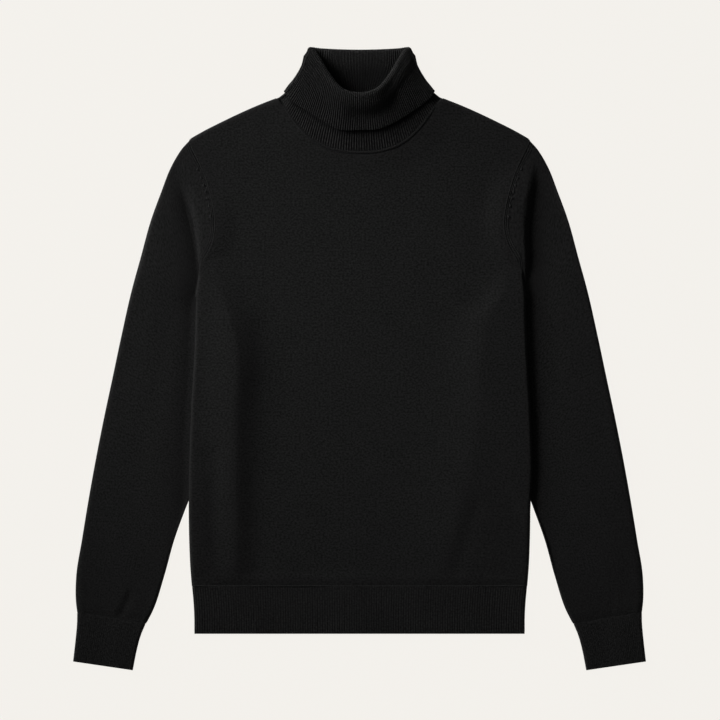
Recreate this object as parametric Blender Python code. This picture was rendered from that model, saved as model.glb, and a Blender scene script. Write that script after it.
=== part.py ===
"""A turtleneck sweater laid flat on its back: front up, collar turned over once, sleeves beside the body.

The garment lies on z = 0 with its neck towards +Y and the wearer's left towards +X. The sleeves keep their
full width, so their inner folds are tucked under the sides of the body. Each knitted piece is a closed wall
of cloth, made from a grid of outer points and a grid of inner points. Sizes are in millimetres up to the
moment when a mesh is made.
"""

from collections import namedtuple

import bmesh
import bpy
import numpy as np

MM = 0.001

# Cloth and seams
JERSEY = 2.0                 # thickness of the stockinette
RIB = 2.4                    # thickness of the rib in its valleys
RIB_RAISE = 0.6              # height of a rib over the valleys beside it
SEAM_GAP = 0.3               # clear space between two pieces at a seam
BODY_LOFT = 7.6              # height of front and back panel together, where nothing lies under them
SLEEVE_LOFT = 7.0            # height of a sleeve that lies on the floor
TUCKED_LOFT = 5.0            # height of a sleeve pressed under the body
TUCKED_LIFT = 6.0            # height of the back panel's underside over a tucked sleeve
LAYER_SLACK = 3.2            # how much closer the two panels come to each other over a tucked sleeve

# Heights up the garment
HEM_BOTTOM = -351.7
HEM_TOP = -291.5
UNDERARM_Y = 81.0
SHOULDER_TIP = (218.2, 279.4)
NECK_POINT = (104.1, 333.4)

Side = namedtuple("Side", "y x")
Plan = namedtuple("Plan", "x y")

BODY_SIDE = (
    Side(-351.7, 211.2), Side(-332.5, 211.2), Side(-309.4, 212.5), Side(-294.0, 214.0), Side(-270.0, 216.0),
    Side(-232.6, 217.6), Side(-186.0, 217.4), Side(-144.3, 213.8), Side(-60.0, 210.4), Side(81.0, 207.4),
)
ARMHOLE = (
    Side(81.0, 207.4), Side(104.0, 203.0), Side(124.0, 194.5), Side(146.0, 186.5), Side(168.0, 184.6),
    Side(190.0, 186.8), Side(213.0, 191.6), Side(241.0, 200.5), Side(263.0, 210.6), Side(279.4, 218.2),
)
SHOULDER = (Plan(104.1, 333.4), Plan(125.4, 325.2), Plan(170.2, 305.0), Plan(210.6, 284.0), Plan(218.2, 279.4))
FRONT_NECKLINE = (
    Plan(0.0, 263.5), Plan(18.0, 264.4), Plan(35.8, 267.9), Plan(50.6, 273.6), Plan(65.3, 283.9),
    Plan(80.0, 299.2), Plan(94.0, 319.0), Plan(104.1, 333.4),
)
BACK_NECKLINE = (Plan(0.0, 315.0), Plan(45.0, 316.2), Plan(70.0, 319.5), Plan(90.0, 325.5), Plan(104.1, 333.4))

# The ridge where a sleeve folds down beside the armhole
RIDGE = (Side(81.0, 207.4), Side(119.0, 205.5), Side(151.0, 208.5), Side(190.0, 214.5), Side(241.0, 223.0))
RIDGE_RISE = 5.0
RIDGE_REACH = 26.0
RIDGE_FADES = (130.0, 250.0)

# Rows of the body below the underarm, and shares of the armhole's height above it
BODY_ROWS = (-250.0, -205.0, -160.0, -115.0, -70.0, -28.0, 12.0, 44.0, 64.0, 81.0)
ARMHOLE_ROWS = (0.035, 0.08, 0.14, 0.20, 0.34, 0.48, 0.62, 0.78)
ROLL = (90.0, 45.0, 0.0)     # angles at which a rolled edge is sampled, from the flat to the seam
UNDERARM_ROLL_ENDS = 0.10    # share of the armhole's height over which the side's roll opens out
NECK_ROLL = 24.0             # length of neckline beside the shoulder seam that turns down towards it
NECK_STEPS = {"front": 9, "back": 6}
SHOULDER_STEPS = 6
NECK_RISE = 2.0              # how far the front rises to meet the collar
NECK_RISE_REACH = 36.0
ARMHOLE_BEND = 4             # how much of an armhole's curve reaches in towards the middle: a higher power, less

# The folds of the front: a soft trough (depth above 0) or ridge (below 0) along a line
Fold = namedtuple("Fold", "x0 y0 x1 y1 width depth")
BODY_FOLDS = (
    Fold(-131.0, 40.0, -132.0, -40.0, 13.0, 1.2),
    Fold(-132.0, -40.0, -138.0, -160.0, 11.0, 1.3),
    Fold(-138.0, -160.0, -134.0, -286.0, 10.0, 1.4),
    Fold(-196.0, -130.0, -195.0, -275.0, 10.0, 0.8),
    Fold(151.0, -196.0, 119.0, -280.0, 11.0, 1.3),
)

# The front over a tucked sleeve, from the hem up: the line of its crest, the crest's height, how far the cloth
# takes to fall towards the middle and towards the side, and the share of the height that is left at the side
Drape = namedtuple("Drape", "y crest height inward outward side_share")
RIGHT_DRAPE = (
    Drape(-300.0, -152.0, 1.6, 20.0, 30.0, 0.25), Drape(-240.0, -156.0, 2.6, 22.0, 32.0, 0.30),
    Drape(-190.0, -158.0, 3.6, 24.0, 34.0, 0.40), Drape(-130.0, -160.0, 4.6, 27.0, 40.0, 0.50),
    Drape(-60.0, -159.0, 5.6, 30.0, 44.0, 0.52), Drape(10.0, -157.0, 6.0, 30.0, 46.0, 0.52),
    Drape(50.0, -166.0, 5.6, 32.0, 40.0, 0.60), Drape(84.0, -180.0, 4.2, 44.0, 28.0, 0.80),
    Drape(120.0, -190.0, 2.4, 50.0, 20.0, 0.90), Drape(170.0, -196.0, 0.0, 56.0, 20.0, 1.0),
)
LEFT_DRAPE = (
    Drape(-300.0, 150.0, 0.8, 34.0, 50.0, 0.30), Drape(-240.0, 158.0, 1.8, 40.0, 50.0, 0.45),
    Drape(-190.0, 162.0, 3.0, 48.0, 48.0, 0.55), Drape(-130.0, 160.0, 4.2, 56.0, 50.0, 0.60),
    Drape(-60.0, 156.0, 5.0, 58.0, 50.0, 0.58), Drape(10.0, 154.0, 5.4, 56.0, 50.0, 0.56),
    Drape(50.0, 160.0, 5.2, 56.0, 44.0, 0.60), Drape(84.0, 180.0, 4.2, 44.0, 28.0, 0.80),
    Drape(120.0, 190.0, 2.4, 50.0, 20.0, 0.90), Drape(170.0, 196.0, 0.0, 56.0, 20.0, 1.0),
)

# The tucked inner fold of a sleeve, and how the back panel over it falls back to the floor
TUCK = (
    Plan(209.0, 77.0), Plan(196.0, 69.5), Plan(176.0, 58.5), Plan(160.0, 42.0), Plan(154.0, 16.0),
    Plan(158.0, -16.0), Plan(171.0, -54.0), Plan(186.0, -95.0), Plan(200.0, -130.0), Plan(212.0, -165.0),
    Plan(219.0, -188.0),
)
PLATEAU = 13.0
BACK_FALL = 13.0

# The rings of a sleeve, from the armhole to the cuff: its inner fold, a corner at the armpit or the body's
# side, and its outer fold, with the bulge of the line between corner and outer fold towards the body
Ring = namedtuple("Ring", "in_x in_y mid_x mid_y out_x out_y bulge")
SLEEVE_RINGS = (
    Ring(208.2, 79.6, 206.4, 101.0, 228.5, 266.5, 4.5),
    Ring(209.6, 75.4, 210.4, 98.0, 232.6, 260.4, 4.0),
    Ring(196.0, 69.5, 213.2, 82.0, 242.4, 242.4, 2.0),
    Ring(176.0, 58.5, 213.6, 76.0, 253.6, 213.5, 1.0),
    Ring(160.0, 42.0, 212.6, 71.0, 266.6, 178.0, 0.0),
    Ring(154.0, 16.0, 211.0, 62.0, 280.4, 128.0, 0.0),
    Ring(158.0, -16.0, 211.0, 25.0, 291.4, 88.0, 0.0),
    Ring(171.0, -54.0, 212.0, -21.0, 305.0, 28.0, 0.0),
    Ring(186.0, -95.0, 214.0, -71.0, 316.8, -27.8, 0.0),
    Ring(200.0, -130.0, 217.0, -118.0, 327.7, -79.0, 0.0),
    Ring(212.0, -165.0, 232.0, -157.0, 337.8, -130.2, 0.0),
    Ring(223.6, -194.2, 244.0, -190.0, 347.0, -181.4, 0.0),
    Ring(237.4, -232.6, 256.0, -231.0, 355.4, -232.6, 0.0),
    Ring(250.2, -278.7, 267.0, -278.0, 362.6, -278.0, 0.0),
    Ring(265.4, -324.4, 280.0, -321.5, 362.9, -313.0, 0.0),
    Ring(273.3, -339.6, 287.0, -337.2, 361.4, -325.2, 0.0),
)
FLOOR_RING = 2               # the first ring of the table whose underside lies on the floor all along
RIDGE_TOP = 12.4
RAMP_STARTS = 2.0            # how far out of the body's edge that rise starts
SLEEVE_RAMP = 10.0           # width over which a sleeve rises from under the body to its own loft
ARMPIT_STATIONS = 4          # stations from the inner fold to the corner
UNDERARM_SHARES = (1.0, 0.8, 0.5)    # how much of the tucked lift the first ring's underside keeps at its fold
SEAM_DROP_SHARES = (0.5, 0.0)        # how much of the seam's height the undersides of the next rings keep
SHOULDER_RISE = 0.4          # how much higher than its loft a sleeve starts at the shoulder
FLAT = 0.01                  # a rolled edge this close to its seam has one point for both sides

# Cuffs: the two edges from the sleeve's end to the cuff's end
Edge = namedtuple("Edge", "in_x in_y out_x out_y")
CUFF_ROWS = (
    Edge(274.2, -340.5, 361.3, -325.6), Edge(280.6, -356.0, 361.6, -341.0),
    Edge(285.8, -376.0, 363.8, -364.0), Edge(289.9, -397.6, 366.0, -387.2),
)
CUFF_LOFT = 7.2
CUFF_RIBS = 24
CUFF_FLOOR_STEPS = 6

# Hem ribs
HEM_RIBS = 136
HEM_PLAIN_STEPS = 12

# The collar: half of it from the front's middle to the back's middle, counted in half ribs
FRONT_HALF_RIBS = 78
BACK_HALF_RIBS = 62
COLLAR_RIBS = FRONT_HALF_RIBS + BACK_HALF_RIBS
Station = namedtuple("Station", "at mid_x mid_y mid_z fold_x fold_y fold_z edge")
COLLAR = (
    Station(0, 0.0, 299.0, 18.0, 0.0, 337.5, 31.0, 0.350),
    Station(20, 28.5, 302.5, 17.6, 22.0, 343.0, 29.8, 0.345),
    Station(40, 52.5, 321.0, 15.8, 39.0, 361.5, 25.6, 0.300),
    Station(60, 68.5, 344.0, 12.6, 51.5, 382.0, 19.0, 0.200),
    Station(72, 75.0, 356.5, 10.4, 58.8, 392.6, 14.4, 0.150),
    Station(78, 76.4, 359.8, 8.2, 61.6, 394.0, 11.6, 0.150),
    Station(84, 74.2, 358.5, 6.4, 58.4, 394.0, 9.8, 0.160),
    Station(100, 54.5, 355.0, 5.4, 38.5, 392.8, 9.6, 0.170),
    Station(120, 27.5, 353.0, 5.2, 19.0, 392.0, 10.2, 0.170),
    Station(140, 0.0, 352.6, 5.2, 0.0, 391.7, 10.6, 0.170),
)
INSIDE_SHARES = (0.35, 1.0)  # shares of the stand's height at which its ribbed inside is sampled
INSIDE_START = 0.12          # the same for its plain start
FOLD_TURNS = (60.0, 120.0)   # degrees over the fold
TURNOVER_SHARES = (1.0, 0.6, 0.0)    # shares of the turnover's length, from the fold to the free edge
HIDDEN_SHARES = (1.0, 0.15)  # shares of the length at which the stand behind the turnover is sampled
SEEN_SHARES = (0.9, 0.12)    # shares of the stand's height below the free edge, where its ribs show
SEEN_ENDS = (16, 6)          # half ribs before the shoulder over which those ribs flatten out
FLOOR_RIBS_END = (6, 14)     # half ribs behind the shoulder over which the turnover's ribs flatten out
FLARE_REACH = 30             # half ribs before the shoulder over which the flare grows
FOLD_GAP = 0.8               # space between the stand and the turnover
FRONT_FLARE = 1.6            # how much further the turnover's free edge stands off at the front
STAND_CLEARS = 0.10          # share of the stand's height over which it climbs onto the turnover
SLOPE_STEP = 0.02            # step up the stand over which its slope is read
SHARP_EDGE = 30.0            # angle between faces over which an edge looks sharp

CHARCOAL = (0.0105, 0.0105, 0.0102, 1.0)


def smooth(values, low, high):
    """0 up to low, 1 from high, and a soft step between them."""
    share = np.clip((np.asarray(values, float) - low) / (high - low), 0.0, 1.0)
    return share * share * (3.0 - 2.0 * share)


def through(rows, at):
    """The smooth curve through a table's rows, read at values of its first column."""
    table = np.array(rows, float)
    keys, values = table[:, 0], table[:, 1:]
    slopes = np.gradient(values, keys, axis=0)
    at = np.clip(np.atleast_1d(np.asarray(at, float)), keys[0], keys[-1])
    left = np.clip(np.searchsorted(keys, at, side="right") - 1, 0, len(keys) - 2)
    width = (keys[left + 1] - keys[left])[:, None]
    t = (at - keys[left])[:, None] / width
    start, end = values[left], values[left + 1]
    pull, push = slopes[left] * width, slopes[left + 1] * width
    found = start * (2 * t**3 - 3 * t**2 + 1) + end * (3 * t**2 - 2 * t**3)
    return found + pull * (t**3 - 2 * t**2 + t) + push * (t**3 - t**2)


def along(points, shares):
    """Points at shares of the length of the smooth line through the given points."""
    table = np.array(points, float)
    keys = np.concatenate([[0.0], np.cumsum(np.linalg.norm(np.diff(table, axis=0), axis=1))])
    dense = through(np.column_stack([keys, table]), np.linspace(0.0, keys[-1], 40 * len(table)))
    length = np.concatenate([[0.0], np.cumsum(np.linalg.norm(np.diff(dense, axis=0), axis=1))])
    wanted = np.asarray(shares, float) * length[-1]
    return np.column_stack([np.interp(wanted, length, dense[:, axis]) for axis in range(dense.shape[1])])


def side_x(rows, y):
    return through(rows, y)[:, 0]


def line_distance(x, y, x0, y0, x1, y1):
    """Distance from each point to a line between two points."""
    span = np.array([x1 - x0, y1 - y0])
    share = np.clip(((x - x0) * span[0] + (y - y0) * span[1]) / (span @ span), 0.0, 1.0)
    return np.hypot(x - x0 - share * span[0], y - y0 - share * span[1])


def outside_tuck(x, y):
    """Distance from each point to the sleeve that is tucked under the body, 0 over it."""
    edge = along(TUCK, np.linspace(0.0, 1.0, 120))
    x = np.abs(x)
    away = np.min(np.hypot(x[:, None] - edge[:, 0], y[:, None] - edge[:, 1]), axis=1)
    falling = edge[::-1]
    inner = np.interp(y, falling[:, 1], falling[:, 0])
    over = (y < edge[0, 1]) & (y > edge[-1, 1]) & (x > inner)
    return np.where(over, 0.0, away)


def underside(x, y):
    """Height of the body's underside over the floor."""
    return TUCKED_LIFT * (1.0 - smooth(outside_tuck(x, y), PLATEAU, PLATEAU + BACK_FALL))


def ridge_rise(x, y):
    """How far the cloth rises towards the fold beside the armhole."""
    away = np.abs(side_x(RIDGE, y) - np.abs(x))
    fade = smooth(y, UNDERARM_Y - RIDGE_REACH, UNDERARM_Y) * (1.0 - smooth(y, *RIDGE_FADES))
    return RIDGE_RISE * (1.0 - smooth(away, 0.0, RIDGE_REACH)) * fade


def folds(x, y):
    """The soft troughs and ridges of the front, taken off its height."""
    total = np.zeros_like(x)
    for fold in BODY_FOLDS:
        away = line_distance(x, y, fold.x0, fold.y0, fold.x1, fold.y1)
        total += fold.depth * np.exp(-((away / fold.width) ** 2))
    return total


def drape(x, y):
    """How far the front is lifted by the sleeves under it."""
    total = np.zeros_like(x)
    for table in (RIGHT_DRAPE, LEFT_DRAPE):
        crest, height, inward, outward, side_share = through(table, y).T
        away = np.abs(x - crest)
        to_middle = height * (1.0 - smooth(away, 0.0, inward))
        to_side = height * (1.0 - (1.0 - side_share) * smooth(away, 0.0, outward))
        here = np.where(np.abs(x) < np.abs(crest), to_middle, to_side)
        total = np.where(np.sign(x) == np.sign(crest), here, total)
    return total


def topside(x, y):
    """Height of the body's upper side over the floor."""
    neck = along(FRONT_NECKLINE, np.linspace(0.0, 1.0, 60))
    near_neck = np.min(np.hypot(np.abs(x)[:, None] - neck[:, 0], y[:, None] - neck[:, 1]), axis=1)
    rise = NECK_RISE * (1.0 - smooth(near_neck, 0.0, NECK_RISE_REACH))
    raised = np.maximum(drape(x, y), ridge_rise(x, y)) - folds(x, y)
    return BODY_LOFT + np.maximum(raised, underside(x, y) - LAYER_SLACK) + rise


def rolled(angle, share):
    """The angle of a rolled edge of which only a share rolls: 90 is flat."""
    return np.radians(90.0 - share * (90.0 - angle))


def body_columns(part):
    """The columns of half a panel: where each one meets the top edge, how much its edge rolls, its angle."""
    neckline = FRONT_NECKLINE if part == "front" else BACK_NECKLINE
    shares = np.linspace(0.0, 1.0, NECK_STEPS[part] + 1)
    neck = along(neckline, shares)
    length = np.sum(np.linalg.norm(np.diff(along(neckline, np.linspace(0.0, 1.0, 60)), axis=0), axis=1))
    neck_rolls = smooth(shares * length, length - NECK_ROLL, length)
    radius = BODY_LOFT / 2.0
    last = SHOULDER_TIP[0] - radius
    xs = np.linspace(NECK_POINT[0], last, SHOULDER_STEPS + 1)[1:]
    xs = np.concatenate([xs, SHOULDER_TIP[0] - radius * (1.0 - np.cos(np.radians(ROLL[1:])))])
    shoulder = np.column_stack([xs, through(SHOULDER, xs)[:, 0]])
    tops = np.vstack([neck, shoulder])
    rolls = np.concatenate([neck_rolls, np.ones(len(xs))])
    angles = np.full(len(tops), 90.0)
    angles[1 - len(ROLL):] = ROLL[1:]
    return tops, rolls, angles


def panel_rows(part):
    """The rows of half a panel: x and y of each column, how far its side rolls, and its top edge's angle."""
    tops, _, side_angles = body_columns(part)
    radius = BODY_LOFT / 2.0
    inset = radius * (1.0 - np.cos(np.radians(side_angles)))
    share_out = tops[:, 0] / (SHOULDER_TIP[0] - radius)
    rows = []
    for y in (HEM_TOP + SEAM_GAP / 2.0,) + BODY_ROWS:
        edge = side_x(BODY_SIDE, y)[0]
        x = np.where(side_angles < 90.0, edge - inset, share_out * (edge - radius))
        rows.append((x, np.full(len(x), y), 1.0, 90.0))
    underarm_x = rows[-1][0]
    height = tops[:, 1] - UNDERARM_Y
    climbs = [(UNDERARM_Y + share * height, 90.0) for share in ARMHOLE_ROWS]
    climbs += [(tops[:, 1] - radius * (1.0 - np.cos(np.radians(angle))), angle) for angle in ROLL]
    for y, angle in climbs:
        climbed = (y - UNDERARM_Y) / height
        x = underarm_x + (tops[:, 0] - underarm_x) * climbed
        bend = side_x(ARMHOLE, y[-1])[0] - x[-1]
        x = x + bend * (tops[:, 0] / SHOULDER_TIP[0]) ** ARMHOLE_BEND
        rows.append((x, y, 1.0 - smooth(climbed[-1], 0.0, UNDERARM_ROLL_ENDS), angle))
    return rows


def half_panel(part, sign):
    """Outer and inner points of one half of a panel: the wearer's left (sign 1) or right (sign -1)."""
    face = 1.0 if part == "front" else -1.0
    _, top_rolls, side_angles = body_columns(part)
    lean = unit(np.array([SHOULDER[0].y - SHOULDER[-1].y, SHOULDER[-1].x - SHOULDER[0].x]))
    outer, inner = [], []
    for x, y, side_share, top_angle in panel_rows(part):
        low, high = underside(x, y), topside(sign * x, y)
        side, top = rolled(side_angles, side_share), rolled(top_angle, top_rolls)
        up = np.sin(side) * np.sin(top)
        level = JERSEY * np.sqrt(np.maximum(0.0, 1.0 - up**2))
        to_side = np.cos(side) >= np.cos(top)
        out_x, out_y = np.where(to_side, 1.0, lean[0]), np.where(to_side, 0.0, lean[1])
        z = (low + high) / 2.0 + face * np.maximum((high - low) / 2.0 * up, SEAM_GAP / 2.0)
        outer.append(np.column_stack([sign * x, y, z]))
        inner.append(np.column_stack([sign * (x - level * out_x), y - level * out_y, z - face * JERSEY * up]))
    return np.array(outer), np.array(inner)


def panel(part):
    """Outer and inner points of a body panel: rows from the hem to the top edge, columns from right to left."""
    right, left = half_panel(part, -1.0), half_panel(part, 1.0)
    return [np.concatenate([there[:, :0:-1], here], axis=1) for there, here in zip(right, left)]


def unit(vector):
    return vector / np.linalg.norm(vector)


def sleeve_edge(y):
    """Where the body's side, or the ridge above it, hides the sleeve."""
    return np.where(y < UNDERARM_Y, side_x(BODY_SIDE, y), side_x(RIDGE, y))


def sleeve_top(x, y):
    rise = smooth(x - sleeve_edge(y), RAMP_STARTS, RAMP_STARTS + SLEEVE_RAMP)
    return TUCKED_LOFT + (SLEEVE_LOFT - TUCKED_LOFT) * rise


def ring_plan(ring, stations, radius_in, radius_out):
    """The points of one ring seen from above, from its inner fold to its outer fold."""
    start, corner, end = (np.array(pair) for pair in (ring[0:2], ring[2:4], ring[4:6]))
    to_corner, to_end = unit(corner - start), unit(end - corner)
    depths_in = radius_in * (1.0 - np.cos(np.radians(ROLL[::-1])))
    points = [start + to_corner * depth for depth in depths_in]
    points += [points[-1] + (corner - points[-1]) * share for share in (0.5, 1.0)]
    flat_end = end - to_end * radius_out
    steps = stations - ARMPIT_STATIONS - 1 - len(ROLL)
    for step in range(1, steps + 1):
        bulge = ring.bulge * np.sin(np.pi * step / (steps + 1))
        points.append(corner + (flat_end - corner) * step / (steps + 1) - np.array([bulge, 0.0]))
    points += [end - to_end * depth for depth in radius_out * (1.0 - np.cos(np.radians(ROLL)))]
    return np.array(points), to_corner, to_end


def sleeve(front, back):
    """Outer and inner points of the left sleeve: closed rings from the armhole to the cuff."""
    first = len(BODY_ROWS)
    seam_front, seam_back = front[first:, -1], back[first:, -1]
    stations = len(seam_front)
    angles = np.full(stations, 90.0)
    angles[:len(ROLL)] = ROLL[::-1]
    angles[-len(ROLL):] = ROLL
    tangent = np.gradient(seam_front[:, :2], axis=0)
    outward = np.column_stack([tangent[:, 1], -tangent[:, 0]])
    outward = outward / np.linalg.norm(outward, axis=1)[:, None]
    plan = seam_front[:, :2] + SEAM_GAP * outward
    rings = [(plan, seam_front[:, 2], seam_back[:, 2], np.array([0.0, 1.0]), np.array([0.0, 1.0]))]
    for number, ring in enumerate(SLEEVE_RINGS):
        radius_in = TUCKED_LOFT / 2.0
        plan, to_corner, to_end = ring_plan(ring, stations, radius_in, SLEEVE_LOFT / 2.0)
        high = sleeve_top(plan[:, 0], plan[:, 1])
        low = np.zeros(stations)
        if number < FLOOR_RING:
            low = seam_back[:, 2] * SEAM_DROP_SHARES[number]
        if number == 0:
            fade = smooth(plan[:, 1], *RIDGE_FADES)
            high = RIDGE_TOP + (SLEEVE_LOFT + SHOULDER_RISE - RIDGE_TOP) * fade
            low[:len(ROLL)] = TUCKED_LIFT * np.array(UNDERARM_SHARES)
        up = np.sin(np.radians(angles))
        middle, half = (high + low) / 2.0, (high - low) / 2.0
        rings.append((plan, middle + half * up, middle - half * up, to_corner, to_end))
    outer_rings, inner_rings = [], []
    level, up = np.cos(np.radians(angles)), np.sin(np.radians(angles))
    half_way = stations // 2
    for plan, top, bottom, to_corner, to_end in rings:
        inward = np.where((np.arange(stations) < half_way)[:, None], to_corner, -to_end)
        shift = JERSEY * level[:, None] * inward
        middle = (top + bottom) / 2.0
        top = np.where(up > FLAT, top, middle)
        bottom = np.where(up > FLAT, bottom, middle)
        upper = np.column_stack([plan, top])
        lower = np.column_stack([plan, bottom])
        upper_in = np.column_stack([plan + shift, top - JERSEY * up])
        lower_in = np.column_stack([plan + shift, bottom + JERSEY * up])
        outer_rings.append(np.vstack([upper, lower[-2:0:-1]]))
        inner_rings.append(np.vstack([upper_in, lower_in[-2:0:-1]]))
    return np.array(outer_rings), np.array(inner_rings)


def half_loop(shares, width, half):
    """The upper half of a flattened tube: the way across, the way up and the slope, at shares of its length."""
    corner = np.pi * half / 2.0
    length = 2.0 * corner + width - 2.0 * half
    run = np.asarray(shares, float) * length
    start, end = run < corner, run > length - corner
    angle = np.where(start, run / half, np.where(end, (length - run) / half, np.pi / 2.0))
    across = np.where(start, half * (1.0 - np.cos(angle)), half + run - corner)
    across = np.where(end, width - half * (1.0 - np.cos(angle)), across)
    out = np.where(start, -np.cos(angle), np.where(end, np.cos(angle), 0.0))
    return across, half * np.sin(angle), out, np.sin(angle)


def rib_raise(count):
    """How far each half rib stands up: valleys between raised wales."""
    return np.where(np.arange(count) % 2 == 1, RIB_RAISE, 0.0)


def hem_row(y, shares, lift, half):
    """Points across the front hem rib at one height, moved out or in by lift."""
    edge = side_x(BODY_SIDE, y)[0]
    across, up, out, rise = half_loop(shares, 2.0 * edge, half)
    z = half + np.maximum(up, SEAM_GAP / 2.0) + lift * rise
    return np.column_stack([across - edge + lift * out, np.full(len(across), y), z])


def hem_front():
    fine = np.linspace(0.0, 1.0, 2 * HEM_RIBS + 1)
    plain = np.linspace(0.0, 1.0, HEM_PLAIN_STEPS + 1)
    rows = (HEM_TOP - SEAM_GAP / 2.0, (HEM_TOP + HEM_BOTTOM) / 2.0, HEM_BOTTOM)
    half = BODY_LOFT / 2.0
    outer = [hem_row(y, fine, rib_raise(len(fine)), half) for y in rows]
    inner = [hem_row(y, plain, -RIB, half) for y in (rows[2], rows[0])]
    return outer + inner


def hem_back():
    """Outer and inner points of the back hem rib, whose outside rests on the floor."""
    plain = np.linspace(0.0, 1.0, HEM_PLAIN_STEPS + 1)
    half = BODY_LOFT / 2.0
    turned = np.array([1.0, 1.0, -1.0])
    lifted = np.array([0.0, 0.0, BODY_LOFT])
    rows = (HEM_TOP - SEAM_GAP / 2.0, (HEM_TOP + HEM_BOTTOM) / 2.0, HEM_BOTTOM)
    outer = np.array([hem_row(y, plain, 0.0, half) * turned + lifted for y in rows])
    inner = np.array([hem_row(y, plain, -RIB, half) * turned + lifted for y in rows])
    return outer, inner


def cuff_ring(edge, shares, lift, face):
    """Points along the upper (face 1) or lower (face -1) side of a cuff, from its inner to its outer edge."""
    start, end = np.array([edge.in_x, edge.in_y]), np.array([edge.out_x, edge.out_y])
    width = np.linalg.norm(end - start)
    half = CUFF_LOFT / 2.0
    across, up, out, rise = half_loop(shares, width, half)
    plan = start + (across + lift * out)[:, None] / width * (end - start)
    return np.column_stack([plan, half + face * (up + lift * rise)])


def cuff():
    """Rings of the left cuff: raised outside rings down its length, then plain inside rings back up."""
    fine = np.linspace(0.0, 1.0, 2 * CUFF_RIBS + 1)
    floor = np.linspace(1.0, 0.0, CUFF_FLOOR_STEPS + 1)[1:-1]
    plain = np.linspace(0.0, 1.0, CUFF_FLOOR_STEPS + 3)
    raised = rib_raise(len(fine))
    outside = [
        np.vstack([cuff_ring(edge, fine, raised, 1.0), cuff_ring(edge, floor, 0.0, -1.0)]) for edge in CUFF_ROWS
    ]
    inside = [
        np.vstack([cuff_ring(edge, plain, -RIB, 1.0), cuff_ring(edge, plain[-2:0:-1], -RIB, -1.0)])
        for edge in (CUFF_ROWS[-1], CUFF_ROWS[0])
    ]
    return outside + inside


def full_turn(half_points, half_at, at):
    """Reads a mirrored loop, given by its half, at any half rib of the whole turn."""
    at = np.asarray(at, float) % (2 * COLLAR_RIBS)
    left = at > COLLAR_RIBS
    points = through(np.column_stack([half_at, half_points]), np.where(left, 2 * COLLAR_RIBS - at, at))
    points[:, 0] = np.where(left, -points[:, 0], points[:, 0])
    return points


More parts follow.
